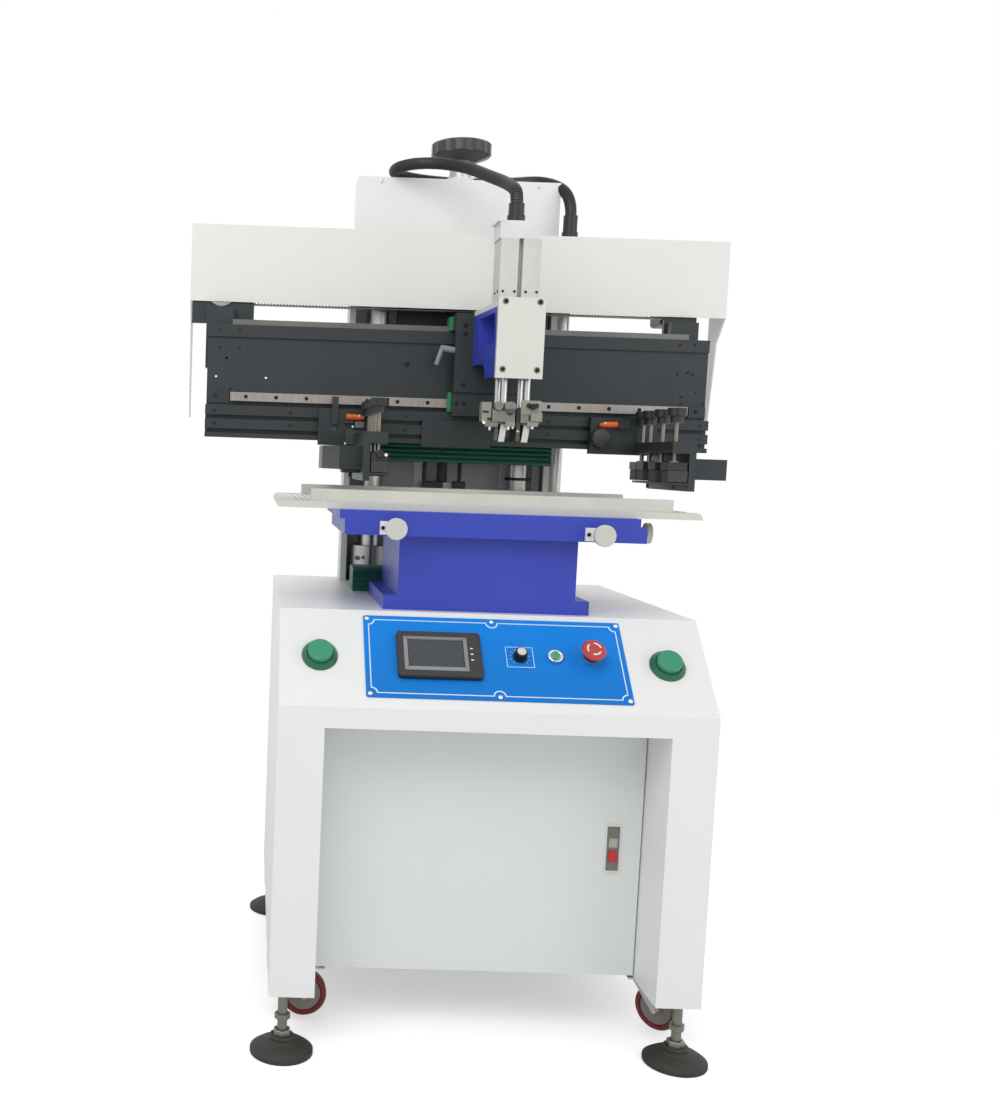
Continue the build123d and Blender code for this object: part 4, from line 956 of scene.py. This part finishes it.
class PRINTER_OT_control_panel(bpy.types.Operator):
    """White border, screws, screen face, speed dial, lamp lens and stop marks of the control plate"""

    bl_idname = "printer.control_panel"
    bl_label = "Control panel"

    half_width = 0.214
    half_height = 0.080
    margin = 0.0085

    def execute(self, context):
        self.border()
        self.screws()
        self.screen()
        self.speed_dial()
        self.lamp()
        self.stop_marks()
        return {"FINISHED"}

    def printed(self, obj, name, x, up):
        ready(obj, name, "cabinet", "white_print", panel_matrix(x, up))

    def border(self):
        outline = notched_outline(self.half_width - self.margin, self.half_height - self.margin, 0.0095)
        self.printed(border_line(outline, sizes().border, 0.0005), "plate_border", 0, 0)

    def screws(self):
        across = self.half_width - self.margin * 0.75
        up = self.half_height - self.margin * 0.75
        size = Matrix.Scale(sizes().cover_screw * 0.9, 4)
        places = [panel_matrix(x, y) @ size for x in (-across, 0, across) for y in (-up, up)]
        repeated(dome_screw(), "plate_screws", places, "cabinet", "zinc_screws", "polished_steel")

    def screen(self):
        """The pale frame, the dark display inside it and three lamps at its right."""
        x, up = panel_place(middle("touch_screen"))
        x -= 0.006
        out = 0.0095
        rim = cuboid("rim", (-0.052, -0.033, 0), (0.052, 0.033, 0.0014), 0.0004)
        inset_face(rim, UP, 0.0065, -0.0010)
        ready(rim, "screen_rim", "cabinet", "screen_rim", panel_matrix(x, up, out))
        glass = cuboid("glass", (-0.0453, -0.0263, 0), (0.0453, 0.0263, 0.0006), 0.0002)
        inset_face(glass, UP, 0.001)
        ready(glass, "screen_glass", "cabinet", "screen_glass", panel_matrix(x, up, out + 0.0005))
        mark = cuboid("mark", (-0.0022, -0.0011, 0), (0.0022, 0.0011, 0.0006), 0.0002)
        places = [panel_matrix(x + 0.0585, up + step * 0.011, 0.0111) for step in (-1, 0, 1)]
        repeated(mark, "screen_marks", places, "cabinet", "white_print", "screen")

    def speed_dial(self):
        """The square with its scale ticks, and the knob's pale cap and pointer."""
        x, up = panel_place(joint_place("speed_turn"))
        square = [(-0.022, -0.0195), (0.022, -0.0195), (0.022, 0.0195), (-0.022, 0.0195)]
        self.printed(border_line(square, sizes().border * 0.6, 0.0004), "speed_square", x, up)
        tick = cuboid("tick", (-0.0004, 0.0140, 0), (0.0004, 0.0165, 0.0003), 0.0001, segments=1)
        places = [panel_matrix(x, up) @ turn for turn in turns(11, 135, -27)]
        repeated(tick, "speed_ticks", places, "cabinet", "white_print", "blue_print")
        cap = disc("cap", 0.0072, 0.0016, bevel=0.0006, sides=40)
        inset_face(cap, UP, 0.0018, -0.0004)
        smooth(cap)
        ready(cap, "speed_cap", "speed_knob", "knob_cap", panel_matrix(x, up, 0.0166))
        ridge = cuboid("ridge", (0.0088, -0.0006, 0.001), (0.0098, 0.0006, 0.0155), 0.0003)
        places = [panel_matrix(x, up, 0.0005) @ turn for turn in turns(24)]
        repeated(ridge, "speed_ridges", places, "speed_knob", "black_moulding", "black_plastic")

    def lamp(self):
        """The green lens inside its bright ring."""
        x, up = panel_place(joint_place("speed_turn"))
        x += 0.057
        lens = disc("lens", 0.0076, 0.003, bevel=0.0012, sides=40)
        smooth(lens)
        ready(lens, "indicator_lens", "cabinet", "lamp_green", panel_matrix(x, up, 0.0078))
        bezel = hoop("bezel", 0.0122, 0.0086, 0.0075, 0.0012)
        smooth(bezel)
        ready(bezel, "indicator_ring", "cabinet", "lamp_ring", panel_matrix(x, up, 0.0006))

    def stop_marks(self):
        """Three white arcs on the mushroom's face."""
        mesh = bmesh.new()
        outline = arc((0, 0), 0.0095, 12, 88, 9) + arc((0, 0), 0.0122, 88, 12, 9)
        mesh.faces.new([mesh.verts.new((across, up, 0)) for across, up in outline])
        grown = bmesh.ops.extrude_face_region(mesh, geom=list(mesh.faces))["geom"]
        lifted = [part for part in grown if isinstance(part, bmesh.types.BMVert)]
        bmesh.ops.translate(mesh, verts=lifted, vec=(0, 0, 0.0007))
        mark = from_bmesh("mark", mesh)
        x, up = panel_place(middle("emergency_stop"))
        vertices = frame["nodes"]["emergency_stop"].data.vertices
        top = max((vertex.co - middle("control_plate")).dot(PANEL_OUT) for vertex in vertices)
        place = panel_matrix(x, up, top - PLATE_THICKNESS / 2 - 0.0010)
        places = [place @ turn for turn in turns(3)]
        repeated(mark, "stop_marks", places, "emergency_stop", "stop_marks_white", "red")


class PRINTER_OT_door_lock(bpy.types.Operator):
    """Pale latch plate and red tab in the door's lock"""

    bl_idname = "printer.door_lock"
    bl_label = "Door lock"

    def execute(self, context):
        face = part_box("door")[0][1]
        x, z = 0.226, 0.333
        for name, half, out, back, foot, top, bevel, inset, raised, finish, slot in (
            ("lock_plate", 10.5, 1.2, 0.6, -38, 38, 0.6, 2.2, -0.7, "lock_grey", "white_paint"),
            ("lock_pull", 7.5, 2.2, -0.4, 2, 18, 0.6, 2.0, -0.6, "lock_pull", "white_paint"),
            ("lock_tab", 7.8, 3.0, -0.4, -22, -4, 0.8, 1.6, 0.4, "lock_red", "red"),
        ):
            low = (x - half * MM, face - out * MM, z + foot * MM)
            high = (x + half * MM, face + back * MM, z + top * MM)
            piece = cuboid(name, low, high, bevel * MM)
            inset_face(piece, FRONT, inset * MM, raised * MM)
            ready(piece, name, "door", finish)
        return {"FINISHED"}


class PRINTER_OT_fastenings(bpy.types.Operator):
    """Socket and round-headed screws on the head, carriage, table and housing"""

    bl_idname = "printer.fastenings"
    bl_label = "Fastenings"

    def execute(self, context):
        socket, dome = socket_screw(), dome_screw()
        flat = disc("flat", 1.0, 0.040, bevel=0.01, sides=24)
        inset_face(flat, UP, 0.3, -0.02, 0.99)
        big, small = sizes().socket_screw, sizes().cover_screw
        oxide, zinc = ("black_oxide_screws", "black_steel"), ("zinc_screws", "polished_steel")

        def screws(name, master, body, points, size, out=FRONT, finish=oxide):
            """One piece of like screws standing on a list of points."""
            places = [turned(spot(*point), out, size) for point in points]
            repeated(master, name, places, body, *finish, keep=True)

        corners = [(x, 300, z) for x in (37.8, 99.5) for z in (1143, 1263)]
        screws("plate_sockets", socket, "carriage", corners, big * 0.74)
        washer = hoop("washer", 0.0058, 0.0043, 0.0006, 0.0002)
        rims = [turned(spot(*corner), FRONT) for corner in corners]
        repeated(washer, "plate_rims", rims, "carriage", "rim_grey", "black_steel")
        tiny = [(x, 310, 1281.5) for x in (33, 54, 74, 93.5)]
        screws("cover_sockets", socket, "carriage", tiny, small * 0.5)
        beside = [(26.5, y, 1282) for y in (322, 346)]
        screws("cover_side_sockets", socket, "carriage", beside, small * 0.5, LEFT)
        edge = [(-1, 482, 1239), (-1, 482, 1223.5), (-0.5, 482, 1124.5), (-10.5, 489, 1090), (4, 489, 1090)]
        screws("carriage_sockets", socket, "carriage", edge, big * 0.8)
        housing = [(x, 630, 1539) for x in (-160, 160)]
        screws("housing_screws", dome, "print_head", housing, small * 0.9, finish=zinc)
        slots = [(x, 508, z) for x in (-481.5, -332, -105.8, 175.5, 474) for z in (1060.5, 1035.2)]
        screws("slot_screws", flat, "print_head", slots, big * 0.78)
        boss = (-105, 530, 1164.6)
        ring = hoop("ring", 0.0085, 0.0056, 0.0012, 0.0003)
        ready(ring, "beam_ring", "print_head", "ring_steel", turned(spot(*boss), FRONT))
        screws("beam_sockets", socket, "print_head", [boss], 5.2 * MM)
        holes = [
            (-474.5, 525, 1219.6), (-436, 525, 1219.2), (431.4, 525, 1219.4), (461, 525, 1220.4),
            (-474.5, 530, 1185.6), (-436, 530, 1186.5), (432, 530, 1163), (452.6, 530, 1166),
            (462, 530, 1162), (441, 530, 1119), (442, 530, 1105), (486, 530, 1106), (-452, 530, 1105),
        ]
        screws("beam_screws", socket, "print_head", holes, 2.4 * MM)
        rails = [(-420.5 + 59.7 * step, 519, 1089.5) for step in range(15)]
        screws("rail_screws", socket, "print_head", rails, 3.4 * MM)
        blocks_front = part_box("adjuster_blocks")[0][1]
        blocks = [joint_place(f"{side}_adjuster_turn") for side in ("left", "right")]
        places = [turned((at.x - 0.0195, blocks_front, at.z), FRONT, small * 0.7) for at in blocks]
        repeated(socket, "block_screws", places, "cabinet", *oxide, keep=True)
        screws("collar_screws", socket, "cabinet", [(x - 14, 617.5, 772) for x in (-153, 153)], big * 0.7)
        for master in (socket, dome, flat):
            drop(master)
        return {"FINISHED"}


HEAD_CONDUIT = (
    (221, 600, 1476), (221, 600, 1500), (213, 634, 1537), (178, 678, 1560), (126, 703, 1561),
    (66, 711, 1559), (6, 712, 1558), (-54, 709, 1560), (-100, 696, 1562), (-134, 660, 1562),
    (-132, 612, 1562), (-98, 588, 1566), (-48, 568, 1563), (-2, 522, 1545), (24, 460, 1517),
    (44, 404, 1494), (53, 352, 1472), (54.5, 330, 1456), (54.5, 330, 1439),
)
CONDUIT_RADIUS = 11.5 * MM
CONDUIT_VALLEY = 0.86


def route_line(points):
    """The smooth line of a conduit's route, as points read from its spline, and its length."""
    data = bpy.data.curves.new("route", "CURVE")
    data.dimensions = "3D"
    data.resolution_u = 24
    spline = data.splines.new("NURBS")
    spline.points.add(len(points) - 1)
    for point, place in zip(spline.points, points):
        point.co = (*spot(*place), 1)
    spline.order_u = 3
    spline.use_endpoint_u = True
    obj = placed("route", data)
    line = [vertex.co.copy() for vertex in bpy.data.meshes.new_from_object(obj).vertices]
    drop(obj)
    return line, sum((after - before).length for before, after in zip(line, line[1:]))


def along(line, distance):
    """A point and a direction at a distance along a line of points."""
    for before, after in zip(line, line[1:]):
        step = (after - before).length
        if distance <= step or after is line[-1]:
            return before + (after - before) * min(1.0, distance / step), (after - before).normalized()
        distance -= step


def corrugated(name, line, length, radius, pitch, sides=20):
    """A ribbed tube: each rib is a rise, a flat crest, a fall and a flat valley."""
    low = CONDUIT_VALLEY
    profile = ((0.0, low), (0.18, low), (0.30, 1.0), (0.70, 1.0), (0.82, low))
    ribs = round(length / pitch)
    stations = [((rib + share) * length / ribs, level) for rib in range(ribs) for share, level in profile]
    stations.append((length, low))
    mesh = bmesh.new()
    side = Vector((1, 0, 0))
    rings = []
    for distance, level in stations:
        point, ahead = along(line, distance)
        side = (side - ahead * side.dot(ahead)).normalized()
        other = ahead.cross(side)
        angles = [math.tau * step / sides for step in range(sides)]
        rings.append([
            mesh.verts.new(point + (side * math.cos(angle) + other * math.sin(angle)) * radius * level)
            for angle in angles
        ])
    for first, second in zip(rings, rings[1:]):
        for step in range(sides):
            after = (step + 1) % sides
            mesh.faces.new((first[step], first[after], second[after], second[step]))
    mesh.faces.new(rings[0][::-1])
    mesh.faces.new(rings[-1])
    return from_bmesh(name, mesh)


class PRINTER_OT_conduit(bpy.types.Operator):
    """The corrugated conduit, from the cover over the top housing to the cylinder"""

    bl_idname = "printer.conduit"
    bl_label = "Conduit"

    def execute(self, context):
        line, length = route_line(HEAD_CONDUIT)
        tube = corrugated("head_conduit_tube", line, length, CONDUIT_RADIUS, sizes().rib_pitch)
        smooth(tube, 50)
        tube.data.materials.append(finish_named("conduit_black"))
        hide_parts("head_conduit")
        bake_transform(tube)
        return {"FINISHED"}


class PRINTER_OT_belt(bpy.types.Operator):
    """Teeth on the inside of the drive belt's lower run"""

    bl_idname = "printer.belt"
    bl_label = "Belt teeth"

    def execute(self, context):
        low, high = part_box("drive_belt")
        half = (high[2] - low[2]) / 2
        tooth = cuboid("tooth", (-0.0016, low[1] + 0.0005, 0), (0.0016, high[1] - 0.0005, 0.0020), 0.0004)
        pitch = sizes().belt_tooth
        count = int((high[0] - low[0] - 2 * half) / pitch)
        first = low[0] + half + pitch / 2
        places = [Matrix.Translation((first + step * pitch, 0, low[2] + 0.0020)) for step in range(count)]
        repeated(tooth, "belt_teeth", places, "print_head", "belt_teeth", "belt")
        return {"FINISHED"}


class Fitter:
    """Makes small blocks and turned pieces in millimetres for one body."""

    def __init__(self, body, slot):
        self.body = body
        self.slot = slot

    def ready(self, obj, name, finish, place=None):
        ready(obj, name, self.body, finish, place)

    def block(self, name, low, high, finish, bevel=0.8, inset=1.2, raised=-0.3, face=FRONT):
        """A machined block between two corners, with one face inset and sunk or raised."""
        obj = cuboid(name, spot(*low), spot(*high), bevel * MM)
        inset_face(obj, face, inset * MM, raised * MM, 0.99)
        self.ready(obj, name, finish)

    def turning(self, name, at, radius, height, finish, out=FRONT, bevel=1.0, inset=0.3, raised=-0.6):
        """A turned knob, washer or stud standing on a point, with its face inset and sunk or raised."""
        obj = disc(name, radius * MM, height * MM, bevel=bevel * MM, sides=36)
        inset_face(obj, UP, radius * inset * MM, raised * MM, 0.99)
        smooth(obj)
        self.ready(obj, name, finish, turned(spot(*at), out))


class PRINTER_OT_squeegee_clamps(bpy.types.Operator):
    """Clamp blocks, knobs and backing plates of the two squeegees"""

    bl_idname = "printer.squeegee_clamps"
    bl_label = "Squeegee clamps"

    def execute(self, context):
        olive, grey, painted_shadow_grey = "clamp_olive", "clamp_grey", "clamp_shadow_grey"
        dark, steel = "black_oxide_screws", "zinc_screws"
        left, right = Fitter("left_squeegee", "grey_knob"), Fitter("right_squeegee", "grey_knob")
        left.block("left_clamp_jaw", (8.5, 321, 1050), (26, 345, 1085), olive)
        # Painted shade: the jaw's slot and notch are thin black sheets on its face.
        left.block("left_clamp_slot", (10, 319.6, 1065.8), (21, 321.8, 1069), dark, 0.4, 0.5)
        left.block("left_clamp_notch", (19, 319.6, 1053), (26, 321.8, 1056.5), dark, 0.4, 0.5)
        left.block("left_clamp_face", (27, 316, 1050), (68, 323.5, 1071), grey)
        left.block("left_clamp_shelf", (51, 314, 1041.5), (68.5, 323.5, 1050.5), olive)
        left.block("left_clamp_foot", (15, 318, 1040.5), (38, 328, 1050), grey)
        left.turning("left_clamp_boss", (38, 323, 1078), 8.5, 11, grey, bevel=2.5)
        left.turning("left_clamp_knob", (58.5, 323, 1076.5), 10.8, 13, grey, bevel=3.0)
        # Painted shadow: a thin dark grey block under the left knob.
        left.block("left_knob_shade", (50, 308.4, 1069), (67.5, 314.4, 1074), painted_shadow_grey, 1.8)
        left.turning("left_knob_socket", (59, 314.5, 1066.5), 4.2, 3.2, dark)
        left.block("left_blade_backing", (33.5, 326, 1016), (41, 384, 1046), painted_shadow_grey, 1.0, face=LEFT)
        left.turning("left_clamp_screw", (12.5, 321, 1048), 3.2, 3, steel)
        left.turning("left_shelf_screw", (57, 320, 1041.6), 3.4, 6, steel, DOWN)
        left.turning("left_shelf_stud", (65.6, 321, 1041.6), 2.6, 4, steel, DOWN)
        left.turning("left_foot_screw", (24, 323, 1040.6), 2.6, 7, steel, DOWN)
        right.block("right_clamp_frame", (78.5, 318, 1062), (116.5, 323.5, 1090), olive, 2.4, 3.0, 0.6)
        right.turning("right_clamp_knob", (99.5, 318, 1078.5), 5.4, 9, dark, bevel=1.4)
        right.turning("right_clamp_nut", (92.5, 318, 1080.5), 4.4, 5, dark)
        right.turning("right_clamp_pin", (105.8, 318, 1080.5), 4.2, 5, dark)
        right.block("right_clamp_cheek", (78.5, 316.5, 1049), (93, 323.5, 1063), grey)
        right.block("right_clamp_block", (96.5, 313, 1052), (117, 325, 1068), olive, 1.2)
        right.block("right_clamp_shelf", (90.5, 315, 1043), (110.5, 323.5, 1052.5), olive, 1.0)
        right.block("right_blade_backing", (73.5, 328, 1016), (81.5, 384, 1074), painted_shadow_grey, 1.0, face=LEFT)
        right.turning("right_backing_screw", (76.5, 328, 1034), 2.6, 2.4, steel)
        right.turning("right_shelf_screw", (100.5, 319, 1043.2), 2.8, 5, steel, DOWN)
        self.blade_end(left, "left_blade_end", 50.5)
        self.blade_end(right, "right_blade_end", 92.5)
        return {"FINISHED"}

    def blade_end(self, fitter, name, x, lean=1 / 8):
        """The cream front end of a blade, leaning with it."""
        face = cuboid("face", (-5.6 * MM, -0.9 * MM, -31.4 * MM), (5.6 * MM, 0, 0), 0.4 * MM)
        for vertex in face.data.vertices:
            vertex.co.x += vertex.co.z * lean
        inset_face(face, FRONT, 0.6 * MM, limit=0.99)
        fitter.ready(face, name, "blade_cream", moved(x, 325.2, 1045.8))


class PRINTER_OT_arm_fittings(bpy.types.Operator):
    """Sensors, pads, washers, pins and small brackets of the two stencil arms"""

    bl_idname = "printer.arm_fittings"
    bl_label = "Arm fittings"

    stud_y = (290, 360, 428, 471)

    def execute(self, context):
        self.sensor("left", -224, 1056, 1)
        self.sensor("right", 304, 1058, -1)
        self.pads("left", -180, -193, -163)
        self.pads("right", 352, 336, 371)
        self.left_parts(Fitter("left_arm", "black_steel"))
        self.right_parts(Fitter("right_arm", "black_steel"))
        return {"FINISHED"}

    def sensor(self, side, x, z, direction):
        """A round sensor with a stepped nose and a small white lamp."""
        fitter = Fitter(f"{side}_arm", "black_plastic")
        body = disc("sensor", 0.0058, 0.029, bevel=0.0012, sides=28)
        edit(body)
        pick(body, facing(UP))
        bpy.ops.mesh.inset(thickness=0.0012)
        bpy.ops.mesh.extrude_region_move(TRANSFORM_OT_translate={"value": (0, 0, 0.005)})
        bpy.ops.mesh.inset(thickness=0.0014)
        smooth(body)
        place = turned(spot(x, 482.5, z), (direction, 0, -0.05))
        fitter.ready(body, f"{side}_sensor", "sensor_orange", place)
        lamp = (x + direction * 25, 477.2, z + 2.2)
        fitter.turning(f"{side}_sensor_lamp", lamp, 2.0, 1.2, "white_print", bevel=0.3)

    def pads(self, side, x, near, far):
        """A tall pad under each pressing block, and a washer above it."""
        fitter = Fitter(f"{side}_arm", "black_plastic")
        for number, y in enumerate(self.stud_y):
            low, high = (near, y - 19.5 + number * 0.4, 952), (far, y + 18, 972.9)
            fitter.block(f"{side}_pad_{number + 1}", low, high, "pad_rubber", 1.2, 2.0)
            washer = hoop("washer", 0.0092, 0.0043, 0.0022, 0.0005)
            name, place = f"{side}_washer_{number + 1}", moved(x, y, 987.1)
            ready(washer, name, f"{side}_arm", "washer_metal", place)

    def left_parts(self, arm):
        black, plate, clip, steel = "black_anodised", "arm_plate_grey", "clip_grey", "zinc_screws"
        arm.block("left_sensor_bracket", (-227, 480, 1043), (-210, 489.6, 1050), black)
        arm.block("left_sensor_clip", (-207, 479, 1034), (-188, 489.6, 1047), clip, 2.0)
        arm.turning("left_clip_end", (-211, 481, 1036.5), 2.4, 3, steel)
        arm.block("left_face_plate", (-224, 486.4, 1003), (-190, 489.7, 1033), plate, 0.4, 0.8)
        arm.turning("left_plate_screw", (-223.8, 486.5, 1003.6), 2.6, 2, steel)
        ring = hoop("ring", 0.0042, 0.0028, 0.0010, 0.0003)
        arm.ready(ring, "left_tab_ring", clip, turned(spot(-247, 489.8, 1032), FRONT))
        arm.block("left_box_foot", (-238, 345, 949), (-209, 400, 954.8), plate)
        arm.turning("left_box_pin", (-224, 352, 949.2), 2.4, 8, black, DOWN)
        arm.turning("left_lock_nut", (-178, 271.5, 984.5), 7.0, 7, "black_moulding", bevel=1.6)
        arm.turning("left_lock_tip", (-167.5, 271.5, 983), 3.2, 5, steel)

    def right_parts(self, arm):
        black = "black_anodised"
        self.ribbed_knob("right_ribbed_knob", "right_arm", turned(spot(273, 489.7, 1031), FRONT))
        arm.block("right_sensor_bracket", (306, 478, 1050), (327, 489.7, 1066), black)
        arm.block("right_sensor_seat", (284, 488.2, 1046), (306, 489.8, 1066), black, 0.3, 0.6, -0.2)
        for number, (x, y) in enumerate(((352, 428), (353, 290))):
            arm.turning(f"right_pin_{number + 1}", (x, y, 947), 2.6, 9, black, DOWN)

    def ribbed_knob(self, name, body, place):
        """A round knob with a raised face, and twelve ribs grown from strips of its side."""
        knob = disc("knob", 0.018, 0.016, bevel=0.003, sides=48)
        inset_face(knob, UP, 0.005, 0.002, 0.99)
        period = 0.524

        def on_rib(face):
            angle = math.atan2(face.normal.y, face.normal.x)
            return abs(face.normal.z) < 0.2 and angle % period < period / 2

        edit(knob)
        pick(knob, on_rib)
        bpy.ops.mesh.extrude_region_shrink_fatten(TRANSFORM_OT_shrink_fatten={"value": 0.0012})
        smooth(knob, 30)
        ready(knob, name, body, "knob_charcoal", place)


class PRINTER_OT_beam_fittings(bpy.types.Operator):
    """End plates, slot cover and pulley cap of the beam, the columns' rings, and the feet's necks and nuts"""

    bl_idname = "printer.beam_fittings"
    bl_label = "Beam fittings"

    column_x = 153
    foot_x = 325
    foot_y = (33, 667)

    def execute(self, context):
        self.beam()
        self.rings()
        self.feet()
        lift = Fitter("cabinet", "black_plastic")
        lift.block("left_valve", (-51, 604, 920), (-10, 629.8, 935), "black_moulding", 1.5, 2.0)
        lift.block("right_valve", (11, 604, 920), (36, 629.8, 936), "black_moulding", 1.5, 2.0)
        return {"FINISHED"}

    def beam(self):
        head, black = Fitter("print_head", "black_steel"), "black_anodised"
        head.block("right_end_plate", (457, 525.5, 1077), (490, 529.8, 1100), black, 0.6, 1.0)
        head.block("left_end_plate", (-498, 526.5, 1077), (-453, 529.8, 1100.5), black, 0.6, 1.0)
        head.turning("end_plate_screw_1", (472.5, 525.6, 1090.6), 4.0, 2.6, "black_oxide_screws")
        head.turning("end_plate_screw_2", (-481.6, 526.6, 1091.2), 4.0, 2.6, "black_oxide_screws")
        head.block("slot_cover", (-73.5, 504.6, 1003.6), (63, 507.8, 1057), black, 0.5, 0.8)
        Fitter("print_head", "zinc").turning("pulley_cap", (-476, 580, 1297), 27, 3, "pulley_metal")

    def rings(self):
        for side, x in (("left", -self.column_x), ("right", self.column_x)):
            ring = hoop("ring", 0.0262, 0.02262, 0.006, 0.0008)
            smooth(ring)
            place = moved(x, 655, 941)
            ready(ring, f"{side}_column_ring", "cabinet", "ring_rubber", place)

    def feet(self):
        """A rubber neck and a nut round each foot's stem, and a rubber bolt head on each front foot."""
        neck = hoop("neck", 0.0205, 0.0135, 0.007, 0.0022)
        smooth(neck)
        nut = disc("nut", 0.0150, 0.009, bevel=0.0015, sides=6)
        cut(nut, disc("bore", 0.0092, 0.012, sides=24, foot=-0.001))
        feet = [(x, y) for x in (-self.foot_x, self.foot_x) for y in self.foot_y]
        necks = [moved(x, y, 22.2) for x, y in feet]
        repeated(neck, "foot_necks", necks, "cabinet", "foot_rubber", "black_plastic")
        nuts = [moved(x, y, 29.4) for x, y in feet]
        repeated(nut, "foot_nuts", nuts, "cabinet", "foot_steel", "zinc")
        fitter = Fitter("cabinet", "black_plastic")
        for side, x in (("left", -self.foot_x), ("right", self.foot_x)):
            at = (x - 4, self.foot_y[0] - 35, 7.5)
            fitter.turning(f"{side}_foot_bolt", at, 7, 7.5, "foot_rubber", (0, -0.35, 1), 1.5, 0.45, -1.6)


class PRINTER_OT_clamp_lever(bpy.types.Operator):
    """Grey ratchet lever on the carriage's left edge"""

    bl_idname = "printer.clamp_lever"
    bl_label = "Clamp lever"

    def execute(self, context):
        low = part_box("carriage_plate")[0]
        hub = Vector((low[0] - 0.001, low[1] + 0.006, 1.191))
        boss = disc("boss", 0.0062, 0.028, bevel=0.002, sides=24)
        inset_face(boss, UP, 0.002, -0.001)
        smooth(boss)
        place = turned(hub + Vector((0.001, 0, 0)), (-1, 0, 0.12))
        ready(boss, "lever_boss", "carriage", "lever_grey", place)
        arm = disc("arm", 0.0048, 0.036, bevel=0.0022, sides=20)
        edit(arm)
        pick(arm, facing(UP))
        bpy.ops.transform.resize(value=(1.3, 1.3, 1))
        smooth(arm)
        place = turned(hub + Vector((-0.023, 0, 0.004)), (-0.30, -0.12, -0.92))
        ready(arm, "lever_arm", "carriage", "lever_grey", place)
        return {"FINISHED"}


OPERATORS = (
    PRINTER_OT_finishes,
    PRINTER_OT_control_panel,
    PRINTER_OT_door_lock,
    PRINTER_OT_fastenings,
    PRINTER_OT_conduit,
    PRINTER_OT_belt,
    PRINTER_OT_squeegee_clamps,
    PRINTER_OT_arm_fittings,
    PRINTER_OT_beam_fittings,
    PRINTER_OT_clamp_lever,
    PRINTER_OT_stage,
)


class PRINTER_PT_sidebar(bpy.types.Panel):
    """Lists the settings and the steps that dress the printer"""

    bl_idname = "PRINTER_PT_sidebar"
    bl_label = "Solder paste printer"
    bl_space_type = "VIEW_3D"
    bl_region_type = "UI"
    bl_category = "Printer"

    def draw(self, context):
        for name in GROUPS:
            group = getattr(context.scene, name)
            box = self.layout.box()
            for setting in group.bl_rna.properties.keys():
                if setting not in ("rna_type", "name"):
                    box.prop(group, setting)
        for operator in OPERATORS:
            self.layout.operator(operator.bl_idname)


GROUPS = {
    "printer_colours": PrinterColours,
    "printer_sizes": PrinterSizes,
    "printer_stage": PrinterStage,
}


def register():
    for name, group in GROUPS.items():
        bpy.utils.register_class(group)
        setattr(bpy.types.Scene, name, bpy.props.PointerProperty(type=group))
    for operator in OPERATORS:
        bpy.utils.register_class(operator)
    bpy.utils.register_class(PRINTER_PT_sidebar)


def unregister():
    bpy.utils.unregister_class(PRINTER_PT_sidebar)
    for operator in reversed(OPERATORS):
        bpy.utils.unregister_class(operator)
    for name, group in GROUPS.items():
        delattr(bpy.types.Scene, name)
        bpy.utils.unregister_class(group)


def main():
    register()
    for operator in OPERATORS:
        group, name = operator.bl_idname.split(".")
        getattr(getattr(bpy.ops, group), name)()


if __name__ == "__main__":
    main()
